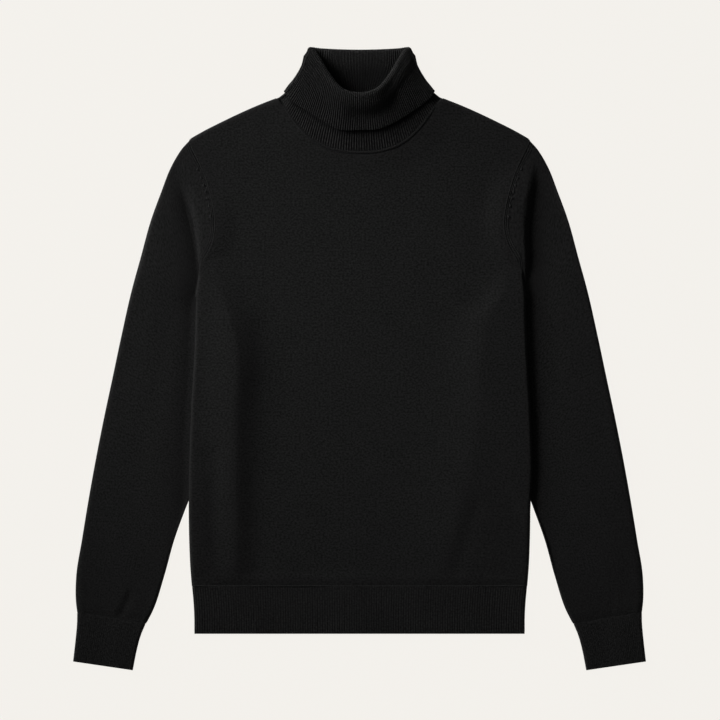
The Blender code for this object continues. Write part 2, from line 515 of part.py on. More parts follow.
class Collar:
    """The surface of the collar's stand, and the layers beside it."""

    def __init__(self, front, front_in, back, back_in):
        middle_front, middle_back = front.shape[1] // 2, back.shape[1] // 2
        at = [FRONT_HALF_RIBS * step / NECK_STEPS["front"] for step in range(NECK_STEPS["front"] + 1)]
        rows = [
            (front[-1, middle_front + step], front_in[-1, middle_front + step])
            for step in range(NECK_STEPS["front"] + 1)
        ]
        for step in range(1, NECK_STEPS["back"] + 1):
            column = middle_back + NECK_STEPS["back"] - step
            at.append(FRONT_HALF_RIBS + BACK_HALF_RIBS * step / NECK_STEPS["back"])
            rows.append((back[-1, column], back_in[-1, column]))
        self.base_at = np.array(at)
        self.outer = np.array([row[0] for row in rows])
        self.inner = np.array([row[1] for row in rows])
        self.outer[NECK_STEPS["front"], 2] -= SEAM_GAP / 2.0
        self.inner[NECK_STEPS["front"], 2] -= SEAM_GAP / 2.0
        run = np.gradient(self.outer[:, :2], axis=0)
        into_neck = np.column_stack([-run[:, 1], run[:, 0]]) * np.where(run[:, :1] < 0.0, -1.0, 1.0)
        into_neck[0] = into_neck[-1] = (0.0, 1.0)
        side = NECK_STEPS["front"]
        into_neck[side] = into_neck[side - 1] + into_neck[side + 1]
        into_neck = into_neck / np.linalg.norm(into_neck, axis=1)[:, None]
        self.outer[:, :2] += SEAM_GAP * into_neck
        self.inner[:, :2] += SEAM_GAP * into_neck
        self.base = (self.outer + self.inner) / 2.0
        table = np.array(COLLAR)
        self.at, self.middle, self.fold, self.edge = table[:, 0], table[:, 1:4], table[:, 4:7], table[:, 7:8]
        self.stations = np.concatenate([self.base_at, 2 * COLLAR_RIBS - self.base_at[-2:0:-1]])
        self.fine = np.arange(2 * COLLAR_RIBS)

    def base_ring(self, points):
        return full_turn(points, self.base_at, self.stations)

    def edge_share(self, at):
        at = np.asarray(at, float) % (2 * COLLAR_RIBS)
        at = np.where(at > COLLAR_RIBS, 2 * COLLAR_RIBS - at, at)
        return through(np.column_stack([self.at, self.edge]), at)[:, 0]

    def stand(self, at, share):
        """The middle of the stand's cloth at a share of its height."""
        share = np.broadcast_to(np.asarray(share, float), np.shape(at))[:, None]
        base = full_turn(self.base, self.base_at, at)
        middle, fold = full_turn(self.middle, self.at, at), full_turn(self.fold, self.at, at)
        start = base.copy()
        start[:, 2] = np.maximum(start[:, 2], COLLAR[-1].mid_z)
        weights = 2.0 * (share - 0.5) * (share - 1.0), 4.0 * share * (1.0 - share), 2.0 * share * (share - 0.5)
        point = weights[0] * start + weights[1] * middle + weights[2] * fold
        point[:, 2] -= ((start - base)[:, 2:] * (1.0 - smooth(share, 0.0, STAND_CLEARS)))[:, 0]
        return point

    def directions(self, at, share):
        """Unit vectors out of the cloth and up the stand."""
        share = np.broadcast_to(np.asarray(share, float), np.shape(at))
        share = np.maximum(share, STAND_CLEARS)
        round_ = self.stand(at + 1.0, share) - self.stand(at - 1.0, share)
        up = self.stand(at, share + SLOPE_STEP) - self.stand(at, share - SLOPE_STEP)
        out = np.cross(round_, up)
        out = out / np.linalg.norm(out, axis=1)[:, None]
        return out, up / np.linalg.norm(up, axis=1)[:, None]

    def raised(self, at, low_floor):
        """Raised wales, left out of the part of the turnover that rests on the floor."""
        height = rib_raise(len(at))
        if low_floor:
            near = np.minimum(at, 2 * COLLAR_RIBS - at)
            height = height * (1.0 - smooth(near, *(FRONT_HALF_RIBS + end for end in FLOOR_RIBS_END)))
        return height[:, None]

    def layer(self, at, share, offset, lift=0.0):
        """Points moved out of the stand's middle by an offset, no lower than the floor."""
        out, _ = self.directions(at, share)
        point = self.stand(at, share) + out * (np.reshape(offset, (-1, 1)) + lift)
        point[:, 2] = np.maximum(point[:, 2], 0.0)
        return point

    def stand_off(self, at, share):
        """Distance between the middles of the stand and the turnover."""
        near = np.minimum(at, 2 * COLLAR_RIBS - at)
        flare = FRONT_FLARE * (1.0 - smooth(near, FRONT_HALF_RIBS - FLARE_REACH, FRONT_HALF_RIBS))
        return RIB + FOLD_GAP + flare * (1.0 - share)

    def rings(self):
        """Rings from the neckline up the inside, over the fold, down the turnover and back to the neckline."""
        fine, coarse = self.fine, self.stations
        raised, raised_top = self.raised(fine, False), self.raised(fine, True)
        edge_fine, edge_coarse = self.edge_share(fine), self.edge_share(coarse)
        rings = [self.base_ring(self.inner), self.layer(coarse, INSIDE_START, -RIB / 2.0)]
        rings += [self.layer(fine, share, -RIB / 2.0, -raised) for share in INSIDE_SHARES]
        rings += self.over_fold(fine, raised_top)
        for part in TURNOVER_SHARES:
            share = edge_fine + (1.0 - edge_fine) * part
            rings.append(self.layer(fine, share, self.stand_off(fine, share) + RIB / 2.0, raised_top))
        for part in TURNOVER_SHARES[::-2]:
            share = edge_coarse + (1.0 - edge_coarse) * part
            rings.append(self.layer(coarse, share, self.stand_off(coarse, share) - RIB / 2.0))
        for part in HIDDEN_SHARES:
            share = edge_coarse + (1.0 - edge_coarse) * part
            rings.append(self.layer(coarse, share, RIB / 2.0))
        for part in SEEN_SHARES:
            rings.append(self.layer(fine, edge_fine * part, RIB / 2.0, raised * self.front_only(fine)))
        rings.append(self.base_ring(self.outer))
        return rings

    def over_fold(self, at, raised):
        """The rings that turn over the fold, from the stand's inside to the turnover's outside."""
        out, up = self.directions(at, 1.0)
        centre = self.stand(at, 1.0) + out * (RIB + FOLD_GAP) / 2.0
        radius = RIB + FOLD_GAP / 2.0 + raised
        rings = []
        for turn in np.radians(FOLD_TURNS):
            point = centre + radius * (up * np.sin(turn) - out * np.cos(turn))
            point[:, 2] = np.maximum(point[:, 2], 0.0)
            rings.append(point)
        return rings

    def front_only(self, at):
        """1 where the stand shows below the turnover, and 0 from near the shoulder round the back."""
        near = np.minimum(at, 2 * COLLAR_RIBS - at)
        return (1.0 - smooth(near, *(FRONT_HALF_RIBS - end for end in SEEN_ENDS)))[:, None]


def cloth_material(name, roughness):
    material = bpy.data.materials.new(name)
    material.use_nodes = True
    shader = material.node_tree.nodes["Principled BSDF"]
    shader.inputs["Base Color"].default_value = CHARCOAL
    shader.inputs["Roughness"].default_value = roughness
    shader.inputs["Metallic"].default_value = 0.0
    return material


def add_object(name, points, faces, material):
    """Makes a closed body from points in millimetres."""
    mesh = bpy.data.meshes.new(name)
    mesh.from_pydata([tuple(point * MM) for point in points], [], faces)
    work = bmesh.new()
    work.from_mesh(mesh)
    bmesh.ops.triangulate(work, faces=work.faces[:])
    bmesh.ops.recalc_face_normals(work, faces=work.faces[:])
    work.to_mesh(mesh)
    work.free()
    mesh.shade_smooth()
    mesh.set_sharp_from_angle(angle=np.radians(SHARP_EDGE))
    mesh.materials.append(material)
    piece = bpy.data.objects.new(name, mesh)
    bpy.context.scene.collection.objects.link(piece)
    return piece


def add_panel(name, outer, inner, material):
    """A wall from two grids of points, closed by rims along its four edges."""
    rows, columns = outer.shape[:2]
    count = rows * columns
    index = np.arange(count).reshape(rows, columns)
    faces = []
    for row in range(rows - 1):
        for column in range(columns - 1):
            a, b = index[row, column], index[row, column + 1]
            c, d = index[row + 1, column + 1], index[row + 1, column]
            faces.append((a, b, c, d))
            faces.append((d + count, c + count, b + count, a + count))
    border = list(index[0]) + list(index[1:, -1]) + list(index[-1, -2::-1]) + list(index[-2:0:-1, 0])
    for here, after in zip(border, border[1:] + border[:1]):
        faces.append((after, here, here + count, after + count))
    return add_object(name, np.vstack([outer.reshape(-1, 3), inner.reshape(-1, 3)]), faces, material)


def stitched(first, second, closed):
    """Faces between two rows of point numbers of any lengths."""
    last_first = len(first) if closed else len(first) - 1
    last_second = len(second) if closed else len(second) - 1
    faces, a, b = [], 0, 0
    while a < last_first or b < last_second:
        here, there = first[a % len(first)], second[b % len(second)]
        step_first = b == last_second or (a < last_first and (a + 0.5) / last_first <= (b + 0.5) / last_second)
        if step_first:
            a += 1
            faces.append((here, first[a % len(first)], there))
        else:
            b += 1
            faces.append((here, second[b % len(second)], there))
    return faces


def add_rings(name, rings, material):
    """A body from closed rings, each stitched to the next and the last to the first."""
    numbers, start = [], 0
    for ring in rings:
        numbers.append(list(range(start, start + len(ring))))
        start += len(ring)
    faces = []
    for ring, following in zip(numbers, numbers[1:] + numbers[:1]):
        faces += stitched(ring, following, True)
    return add_object(name, np.vstack(rings), faces, material)


def add_strip(name, rows, material):
    """A body from open rows, stitched round from the last to the first, with its two ends closed."""
    numbers, start = [], 0
    for row in rows:
        numbers.append(list(range(start, start + len(row))))
        start += len(row)
    faces = []
    for row, following in zip(numbers, numbers[1:] + numbers[:1]):
        faces += stitched(row, following, False)
    faces.append(tuple(row[0] for row in numbers))
    faces.append(tuple(row[-1] for row in reversed(numbers)))
    return add_object(name, np.vstack(rows), faces, material)


def across_middle(points):
    """The mirror image of points on the other side of the body."""
    return points * np.array([-1.0, 1.0, 1.0])


def build():
    for old in list(bpy.data.objects):
        bpy.data.objects.remove(old)
    jersey = cloth_material("stockinette", 0.9)
    rib = cloth_material("rib", 0.88)
    front, front_in = panel("front")
    back, back_in = panel("back")
    add_panel("front_panel", front, front_in, jersey)
    add_panel("back_panel", back, back_in, jersey)
    sleeve_outer, sleeve_inner = sleeve(front, back)
    tube = list(sleeve_outer) + list(sleeve_inner[::-1])
    cuff_rings = cuff()
    add_rings("left_sleeve", tube, jersey)
    add_rings("right_sleeve", [across_middle(ring) for ring in tube], jersey)
    add_rings("left_cuff", cuff_rings, rib)
    add_rings("right_cuff", [across_middle(ring) for ring in cuff_rings], rib)
    add_strip("front_hem_rib", hem_front(), rib)
    add_panel("back_hem_rib", *hem_back(), rib)
    add_rings("collar", Collar(front, front_in, back, back_in).rings(), rib)


build()
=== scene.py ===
from collections import namedtuple

import bpy
import numpy as np
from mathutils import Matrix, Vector


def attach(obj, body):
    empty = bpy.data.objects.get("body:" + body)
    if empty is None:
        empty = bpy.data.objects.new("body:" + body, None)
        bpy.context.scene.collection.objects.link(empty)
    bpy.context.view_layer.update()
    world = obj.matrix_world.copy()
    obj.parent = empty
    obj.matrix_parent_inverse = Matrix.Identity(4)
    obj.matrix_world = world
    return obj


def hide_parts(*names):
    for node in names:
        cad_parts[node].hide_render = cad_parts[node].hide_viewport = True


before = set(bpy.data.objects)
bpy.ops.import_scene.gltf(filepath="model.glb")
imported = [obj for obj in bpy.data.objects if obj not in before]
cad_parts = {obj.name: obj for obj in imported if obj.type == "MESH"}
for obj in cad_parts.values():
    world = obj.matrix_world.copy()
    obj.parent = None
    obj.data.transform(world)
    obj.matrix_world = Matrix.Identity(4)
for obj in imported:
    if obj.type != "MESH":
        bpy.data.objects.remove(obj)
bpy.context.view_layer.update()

MM = 0.001
LEAST_STEP = 1e-6

# ---------------------------------------------------------------------------
# Sizes shared with the solids, in millimetres. Plans are drawn for the wearer's left (+X) and mirrored. Where
# the two sides differ, a pair of values gives the wearer's left first.
# ---------------------------------------------------------------------------

JERSEY = 2.0                 # thickness of the plain cloth
RIB = 2.4                    # thickness of the ribbed cloth
SEAM_GAP = 0.3
BODY_LOFT = 7.6              # thickness of the body's two layers, and of a sleeve's
SLEEVE_LOFT = 7.0
TUCKED_LOFT = 5.0            # thickness of a sleeve under the body
TUCKED_LIFT = 6.0            # how far it lifts the body's underside
HEM_SETTLES = 26.0           # how far over the hem the front's own heights begin
HEM_BOTTOM = -351.7
HEM_TOP = -291.5
UNDERARM_Y = 81.0
SHOULDER_TIP = (218.2, 279.4)
NECK_POINT = (104.1, 333.4)

Side = namedtuple("Side", "y x")
Plan = namedtuple("Plan", "x y")

BODY_SIDE = (
    Side(-351.7, 211.2), Side(-332.5, 211.2), Side(-309.4, 212.5), Side(-294, 214), Side(-270, 216),
    Side(-232.6, 217.6), Side(-186, 218.2), Side(-143, 217.6), Side(-105, 216.6), Side(-66, 215.2),
    Side(-28, 212.8), Side(10, 210.8), Side(48, 209.4), Side(81, 208.6),
)
LEFT_OUT = 3.6               # how much further out the body reaches over the wearer's left sleeve
LEFT_OUT_ACROSS = ((60, 200), (220, 250))
LEFT_OUT_ALONG = ((-200, -130), (100, 170))
ARMHOLE = (
    Side(81, 208.6), Side(104, 206.4), Side(117, 204), Side(127, 198.5), Side(138, 191.8),
    Side(150, 187.4), Side(168, 184.6), Side(190, 186.8), Side(213, 191.6), Side(241, 200.5),
    Side(263, 210.6), Side(279.4, 218.2),
)
SHOULDER = (Plan(104.1, 333.4), Plan(125.4, 325.2), Plan(170.2, 305), Plan(210.6, 284), Plan(218.2, 279.4))
FRONT_NECKLINE = (
    Plan(0, 263.5), Plan(18, 264.4), Plan(35.8, 267.9), Plan(50.6, 273.6), Plan(65.3, 283.9),
    Plan(80, 299.2), Plan(94, 319), Plan(104.1, 333.4),
)
BACK_NECKLINE = (Plan(0, 315), Plan(45, 316.2), Plan(70, 319.5), Plan(90, 325.5), Plan(104.1, 333.4))
RIDGE = (                    # where the cloth folds over beside the armhole
    Side(81, 200), Side(106, 201), Side(117, 202), Side(130, 203), Side(158, 203.6),
    Side(183, 205), Side(206, 209.4), Side(228, 216.6), Side(241, 221.4),
)
LEFT_RIDGE = (               # the same on the wearer's left, where the fold lies further out
    Side(81, 206.6), Side(106, 207.3), Side(117, 208.2), Side(130, 209), Side(158, 209.4),
    Side(183, 210.6), Side(206, 213), Side(228, 216.5), Side(241, 217.2), Side(262, 217.2),
)
RIDGE_RISE = (4.4, 3.3)      # at the armhole's seam
RIDGE_LEANS = (-0.1, 0.35)   # how much of that rise is gone at the fold
RIDGE_REACH = 34.0           # how far inwards of the seam it starts
RIDGE_STARTS = (92.0, 140.0)
RIDGE_FADES = ((200.0, 262.0), (178.0, 242.0))
UNDERARM_ROLL_ENDS = (0.09, 0.20)
ARMHOLE_BEND = 4             # power by which the columns follow the armhole's curve, more so near it
NECK_ROLL = 24.0             # length of neckline along which the shoulder's rolled edge ends
NECK_RISE = 2.0
NECK_RISE_REACH = 36.0
NECK_STEADIES = 30.0         # how near to the neckline the cloth is drawn even

Swell = namedtuple("Swell", "height middle reach")
BLOUSE = Swell(0.9, 9.0, 6.0)            # over the hem's join, by the distance from it
JOIN_DIP = Swell(-0.5, 0.0, 2.5)
BLOUSE_ENDS = (190, 210)
SEAM_DIP = Swell(0.15, 0.0, 3.0)         # beside the armhole's seam
SEAM_DIP_SPAN = ((130, 150), (255, 270))
PUFF = Swell(0.5, -0.75, 0.5)            # of a sleeve over its cuff, by rings from it
CUFF_DIP = Swell(-0.3, 0.0, 0.15)

Fold = namedtuple("Fold", "x0 y0 x1 y1 width depth")

# The front over a tucked sleeve, from the hem up: the line of its crest, the crest's height, how far the
# cloth takes to fall towards the middle and towards the side, and the share of the height left at the side
Drape = namedtuple("Drape", "y crest height inward outward side_share")
RIGHT_DRAPE = (
    Drape(-300, -160, 1.9, 40, 50, 0.80), Drape(-240, -159, 3, 44, 46, 0.84),
    Drape(-190, -158, 4, 50, 44, 0.82), Drape(-130, -159, 4.8, 56, 44, 0.64),
    Drape(-60, -158, 5.7, 60, 48, 0.56), Drape(10, -157, 5.9, 60, 48, 0.56),
    Drape(50, -165, 5, 60, 40, 0.62), Drape(84, -176, 3.2, 60, 28, 0.76),
    Drape(120, -188, 1.5, 56, 20, 0.90), Drape(170, -196, 0, 56, 20, 1),
)
LEFT_DRAPE = (
    Drape(-300, 108, 1.4, 66, 96, 0.20), Drape(-240, 116, 3, 80, 94, 0.28),
    Drape(-190, 126, 4.4, 86, 86, 0.50), Drape(-130, 144, 5.2, 80, 70, 0.72),
    Drape(-60, 152, 6, 70, 60, 0.76), Drape(10, 154, 6.8, 58, 54, 0.76),
    Drape(50, 160, 6.4, 56, 46, 0.78), Drape(84, 180, 5.4, 44, 28, 0.85),
    Drape(120, 190, 2.4, 50, 20, 0.90), Drape(170, 196, 0, 56, 20, 1),
)
RIGHT_FULLER = 1.95          # the right crest's height over that of the plain solid
INWARD_SKEW = 0.66           # below 1, the cloth falls sooner beside the crest and settles more slowly
LAYER_SLACK = 3.2            # how much closer the two panels come over a tucked sleeve
MAXIMUM_ROUND = 2.4          # how round the hollow is where the front leaves a tucked sleeve
TUCK = (
    Plan(209, 77), Plan(196, 69.5), Plan(176, 58.5), Plan(160, 42), Plan(154, 16),
    Plan(158, -16), Plan(171, -54), Plan(186, -95), Plan(200, -130), Plan(212, -165),
    Plan(219, -188),
)
PLATEAU = 13.0               # how far beside the tucked sleeve the back stays lifted
BACK_FALL = 13.0             # and how far it then takes to reach the floor

Ring = namedtuple("Ring", "in_x in_y mid_x mid_y out_x out_y bulge")
SLEEVE_RINGS = (
    Ring(209.4, 79.6, 207.2, 101, 228.5, 266.5, 4.5),
    Ring(210.4, 75.4, 211, 98, 232.6, 260.4, 4),
    Ring(196, 69.5, 213.2, 82, 242.4, 242.4, 2),
    Ring(176, 58.5, 213.6, 76, 253.6, 213.5, 1),
    Ring(160, 42, 212.6, 71, 266.6, 178, 0),
    Ring(154, 16, 211, 62, 280.4, 128, 0),
    Ring(158, -16, 211, 25, 291.4, 88, 0),
    Ring(171, -54, 212, -21, 305, 28, 0),
    Ring(186, -95, 214, -71, 316.8, -27.8, 0),
    Ring(200, -130, 217, -118, 327.7, -79, 0),
    Ring(212, -165, 232, -157, 337.8, -130.2, 0),
    Ring(223.6, -194.2, 244, -190, 347, -181.4, 0),
    Ring(237.4, -232.6, 256, -231, 355.4, -232.6, 0),
    Ring(250.2, -278.7, 267, -278, 362.6, -278, 0),
    Ring(265.4, -324.4, 280, -321.5, 362.9, -313, 0),
    Ring(273.3, -339.6, 287, -337.2, 361.4, -325.2, 0),
)
RIDGE_TOP = 12.4
SLEEVE_FULL = SLEEVE_LOFT + 0.4                  # a sleeve's height away from its folds
UNDERARM_HEIGHTS = (8.0, 8.2, 8.4, 8.8, 9.8)     # of a sleeve's first ring beside the body's edge
UNDERARM_LIFTS = (1.0, 0.8, 0.5)                 # the same for its underside, as shares of the lift
RAMP = (2.0, 12.0)           # where a sleeve rises beside the body's edge
CREASE_DEPTH = 4.0           # how much lower a sleeve lies right beside its fold
CREASE_WIDTH = (8.5, 4.5)    # how wide the steep side of that fold is
CREASE_WIDENS = (4.0, 12.0)  # how much wider it gets upwards
CREASE_SOFTENS = (115.0, 215.0)
SHADE_REACH = (100.0, 44.0)  # how far out a sleeve rises again
SHADE_EASE = (1.0, 2.6)      # how much sooner it does so right beside the fold
SLEEVE_FULLS = (0.6, 2.4)    # how much thicker a sleeve lies beside the armhole
SLEEVE_FULL_SPAN = ((40, 110), (190, 240))
ARMPIT_STATIONS = 4

Edge = namedtuple("Edge", "in_x in_y out_x out_y")
CUFF_ROWS = (
    Edge(274.2, -340.5, 361.3, -325.6), Edge(280.6, -356, 361.6, -341),
    Edge(285.8, -376, 363.8, -364), Edge(290.3, -399.4, 366.6, -388.2),
)
CUFF_LOFT = 7.2
CUFF_LENGTH = 60.0
CUFF_RIBS = 34
HEM_RIBS = 136
HEM_RELAXES = 1.0            # how far the ribbed edge hangs below its plain solid

FRONT_HALF_RIBS = 78
BACK_HALF_RIBS = 62
COLLAR_RIBS = FRONT_HALF_RIBS + BACK_HALF_RIBS
Station = namedtuple("Station", "at mid_x mid_y mid_z fold_x fold_y fold_z edge")
COLLAR = (
    Station(0, 0, 299, 18, 0, 337.5, 31, 0.350),
    Station(20, 28.5, 302.5, 17.6, 22, 343, 29.8, 0.345),
    Station(40, 52.5, 321, 15.8, 39, 361.5, 25.6, 0.300),
    Station(60, 68.5, 344, 12.6, 51.5, 382, 19, 0.200),
    Station(72, 75, 356.5, 10.4, 58.8, 392.6, 14.4, 0.150),
    Station(78, 76.4, 359.8, 8.2, 61.6, 394, 11.6, 0.150),
    Station(84, 74.2, 358.5, 6.4, 58.4, 394, 9.8, 0.160),
    Station(100, 54.5, 355, 5.6, 38.5, 392.8, 9.6, 0.170),
    Station(120, 27.5, 353, 5.8, 19, 392, 10.2, 0.170),
    Station(140, 0, 352.6, 6, 0, 391.7, 10.6, 0.170),
)
FOLD_GAP = 0.8
EDGE_FLARE = 0.9
EDGE_LIFT = 0.06             # how much higher up the stand the turnover ends than on the plain solid
EDGE_LIFT_FADES = (40, 78)   # half ribs from the front's middle, as is the place of everything on the collar
MIDDLE_SINKS = 2.5           # how much lower the stand's middle is at the front than on the plain solid
MIDDLE_SINK_FADES = (30, 70)
BACK_NARROWS = 0.6           # how much of the middle's overhang over the fold is taken off at the back
BACK_NARROWING = (78, 92)
Waves = namedtuple("Waves", "first second shift strength")
EDGE_WAVES = Waves(5, 11, 0.4, 0.006)            # of the turnover's edge, as a share of the stand's height
BULGE_WAVES = Waves(3, 6, 0.6, 0.7)              # of its distance from the stand
COLLAR_WANDER = 0.12         # how far the collar's ribs stray sideways, in half ribs
BASE_RELAXES = 0.6           # how much of their height is gone where they lie on the floor
EDGE_BOUND = 0.45            # and at the turnover's free edge
Dent = namedtuple("Dent", "at share half_ribs reach depth")
COLLAR_DENTS = (
    Dent(33, 0.78, 13, 0.26, 4.6), Dent(6, 0.66, 24, 0.20, 4.5), Dent(252, 0.66, 9, 0.16, 1.6),
    Dent(232, 0.86, 8, 0.18, 0.9), Dent(58, 0.55, 9, 0.2, -1.2), Dent(218, 0.5, 11, 0.22, 1),
)
STAND_CLEARS = 0.10
STAND_LOWEST = 5.2           # height of the middle of its cloth where it leaves the neckline at the back
RIM_SHARE = 0.86             # how far up the turnover its fold is fullest
RIM_REACH = 0.09
RIM_FULLNESS = 2.2
STAND_RELAXES = 0.8          # the height left of the ribs that show below the turnover

# ---------------------------------------------------------------------------
# Sizes of the fine meshes and of the knitting
# ---------------------------------------------------------------------------

Sampling = namedtuple("Sampling", "body_rows armhole_rows roll neck_steps shoulder_steps")
FRONT_SAMPLING = Sampling(125, 64, 7, 46, 44)      # counts of rows, of rolled edge points and of columns
BACK_SAMPLING = Sampling(84, 44, 7, 36, 30)
COARSE_SAMPLING = Sampling(10, 8, 3, 9, 6)
COARSE_ARMHOLE = (0.0, 0.035, 0.08, 0.14, 0.19, 0.235, 0.28, 0.35, 0.48, 0.62, 0.78)
TUCK_IN = 2.0                # how far a piece reaches under the one that it is joined to
TUCK_DOWN = 1.2
SEAM_SINKS = 0.4             # how far a sleeve's edge lies under the armhole's
SEAM_COLUMNS = (27, 76)      # the fine columns of a sleeve that carry the armhole's stitch rows
Beads = namedtuple("Beads", "width height pitch")
ARMHOLE_ROWS = (0.6, Beads(2.2, 2.0, 2.2)), (3.6, Beads(1.5, 1.5, 2.2)), (6.4, Beads(1.3, 1.2, 2.2))
LINKING = Beads(4.2, 1.7, 3.1)
HEM_JOIN = Beads(2.2, 1.9, 3.1)
WRIST_JOIN = Beads(1.7, 0.8, 3.0)
SIDE_SEAM = Beads(1.6, 0.8, 2.4)
SHOULDER_SEAM = Beads(2.2, 1.2, 2.6)
UNDERARM_SEAM = Beads(1.5, 0.7, 2.4)
UNDERARM_RING = 8            # the sleeve's ring from which its underarm seam shows
WRIST_FROM = 8               # the fine column at which its join to the cuff starts, from either side
UP = (0.0, 0.0, 1.0)
BEAD_DEPTH = 0.28            # how much thinner a seam is between two beads
BEAD_RINGS = 6               # rings of points to one bead
CORD_SIDES = 8
MARKS_AWAY = 7.6             # from the seam, out on the sleeve
MARK_SHARES = (0.42, 0.50, 0.56, 0.61, 0.66, 0.72, 0.79)
MARK_SIZE = (2.2, 1.7)
MARK_LEAN = 0.5
MARK_RINGS = ((1.0, -0.3), (0.75, 0.9), (0.35, 1.3))     # the share of its size, and its height there
MARK_SIDES = 8
SLEEVE_FINE = 6              # points between two coarse stations of a sleeve
RIB_SAMPLES = 8              # points across one rib
HEM_RIB_HEIGHT = 0.45        # heights of the wales over the valleys, as they look relaxed
CUFF_RIB_HEIGHT = 0.22
COLLAR_RIB_HEIGHT = 1.35
RIB_ENDS = (3.0, 5.0)        # how soon the hem's ribs are full from its free edge, and from its join
BOUND_SHARE = 0.45           # the share of their height that is left there
HEM_WANDER = 0.10            # how far ribs stray sideways, in half ribs
CUFF_WANDER = 0.14
CUFF_WAVE = 0.45
WALE = 1.45                  # width of one stockinette stitch
COURSE = 1.05                # height of one stockinette stitch
RIB_COURSE = COURSE * 1.1
SEAM_STITCH = 0.9
RIB_UNIT = 1.55              # knit coordinate of half a rib
UNDULATION = 0.14            # depth of the slow unevenness of laid cloth
HEM_ROW_SHARES = np.array([0.0, 0.02, 0.05, 0.12, 0.25, 0.4, 0.55, 0.7, 0.85, 0.94, 0.975, 1.0])
FLIPPED = np.array([1.0, 1.0, -1.0])
INSIDE_SHARES = (0.06, 0.12, 0.2, 0.3, 0.4, 0.5, 0.6, 0.7, 0.8, 0.9, 0.96, 1.0)   # up the stand's inside
FOLD_TURNS = (20.0, 42.0, 66.0, 90.0, 114.0, 138.0, 160.0)                       # degrees over the fold
FOLD_ROUND = (RIB + FOLD_GAP + RIB) / 2.0
TURNOVER_PARTS = (1.0, 0.93, 0.85, 0.75, 0.65, 0.55, 0.45, 0.35, 0.25, 0.15, 0.07, 0.03, 0.0)
UNDERSIDE_PARTS = (0.0, 0.3, 0.65, 0.95)
STAND_PARTS = (0.95, 0.85, 0.72, 0.6, 0.48, 0.36, 0.25, 0.15, 0.07)

# Colours, linear, and light
YARN_DARK = (0.0008, 0.0008, 0.0008)
YARN_LIGHT = (0.0166, 0.0165, 0.0162)
SEAM_PAINTED_SHEEN = (0.0235, 0.0233, 0.0229)           # painted sheen: the seams' yarn is coloured lighter, standing in for the sheen that stitches pulled taut catch
HEM_VALLEY_PAINTED_SHADE = 0.45            # painted shade: how much of the yarn's brightness is left in the valleys of the hem and cuffs, where shade falls between the ribs
HEM_LIGHT = (0.0200, 0.0199, 0.0195)
# painted shade in the valleys of the cuffs' ribs and of the collar's ribs
CUFF_VALLEY_PAINTED_SHADE = 0.92
COLLAR_VALLEY_PAINTED_SHADE = 0.04
# the collar's yarn at the brightness of its painted highlight over the fold; the painted shade below takes it
# down elsewhere
COLLAR_LIGHT = (0.0360, 0.0357, 0.0351)
PaintedFoldLight = namedtuple("PaintedFoldLight", "starts full easing ends")
FOLD_PAINTED_HIGHLIGHT = PaintedFoldLight(54.0, 76.0, 92.0, 106.0)  # painted highlight over the fold, where the collar's cloth is stretched: its yarn is coloured at full brightness there, where the light falls
OFF_FOLD_PAINTED_SHADE = (0.38, 0.66)   # painted shade: how much of that brightness its cloth has before and after, darker down the inside of the mouth and on the turnover
LIP_SHADE = 0.48             # the same beside the turnover's free edge, where its cloth lies on the stand
LIP_FADES = (1.2, 1.4, 4.4)  # how far that reaches: up the turnover, and down the stand with its end
SHEEN = 0.02
STITCH_SLANT = 1.3           # how steeply the two legs of a stitch lean
Noise = namedtuple("Noise", "scale detail roughness")
SPECKS = Noise(0.9, 1.0, 0.6)
SPECK_STRETCH = (0.40, 0.46, 1.0)
PATCHES = Noise(0.03, 3.0, 0.55)
FUZZ = Noise(2.6, 2.0, 0.6)
FUZZ_HEIGHT = 0.35
NOISE_SPAN = (0.3, 0.7)      # the values between which a noise has its effect
SPECK_TONE = 0.5             # how far each of them moves the yarn's tone, up and down
PATCH_TONE = 0.04
# painted shade and light: the stitches' hollows are coloured darker and their raised legs lighter
STITCH_PAINTED_SHADE = 0.22
TONE_SPAN = 0.7
PAPER_CLOUDS = Noise(1.6, 2.0, 0.5)
FLOOR_REACH = 4.0            # in metres, as are the lamp's and the camera's places
PAPER_DARK = (0.011, 0.0105, 0.010)
PAPER_LIGHT = (0.013, 0.0125, 0.012)
PAPER_GLOW = (0.892, 0.8695, 0.8295, 1.0)
SKY = (0.98, 0.99, 1.0, 1.0)
SKY_STRENGTH = 0.115
LAMP_WATTS = 8.9
LAMP_SIZE = 1.2
LAMP_SPREAD = 50.0
LAMP_PLACE = (-1.28, 0.84, 0.55)
LAMP_AIM = (-0.33, 0.28, 0.0)
CAMERA_PLACE = (0.0006, -0.0022, 3.0)
CAMERA_SPAN = 0.9216

# Creases that the solids leave out: a trough (depth above 0) or a ridge (below 0) along a line
FRONT_CREASES = (
    Fold(-128, 30, -130, -40, 17, 0.7),
    Fold(-130, -40, -134, -160, 16, 0.8),
    Fold(-134, -160, -132, -286, 14, 0.9),
    Fold(-187, -124, -184, -292, 14, 2.3),
    Fold(151, -186, 121, -284, 10, 1.1),
    Fold(-188, 232, -128, 196, 15, 0.3),
    Fold(186, 226, 132, 176, 16, 0.3),
    Fold(-60, -205, -24, -276, 17, 0.2),
    Fold(58, -180, 74, -268, 19, 0.2),
    Fold(174, 112, 138, 62, 12, 0.3),
)
RIGHT_SLEEVE_CREASES = (     # the wearer's right sleeve, in the left sleeve's own mirrored place
    Fold(294, -303, 306, -329, 4.8, 1.5),
    Fold(300, -298, 313, -324, 5.5, -0.3),
    Fold(256, 150, 268, 40, 12, -0.7),
    Fold(240, 60, 262, -60, 10, 0.5),
    Fold(268, -60, 292, -170, 13, 0.45),
    Fold(318, -180, 331, -262, 10, 0.4),
    Fold(246, -196, 300, -214, 9, 0.35),
)
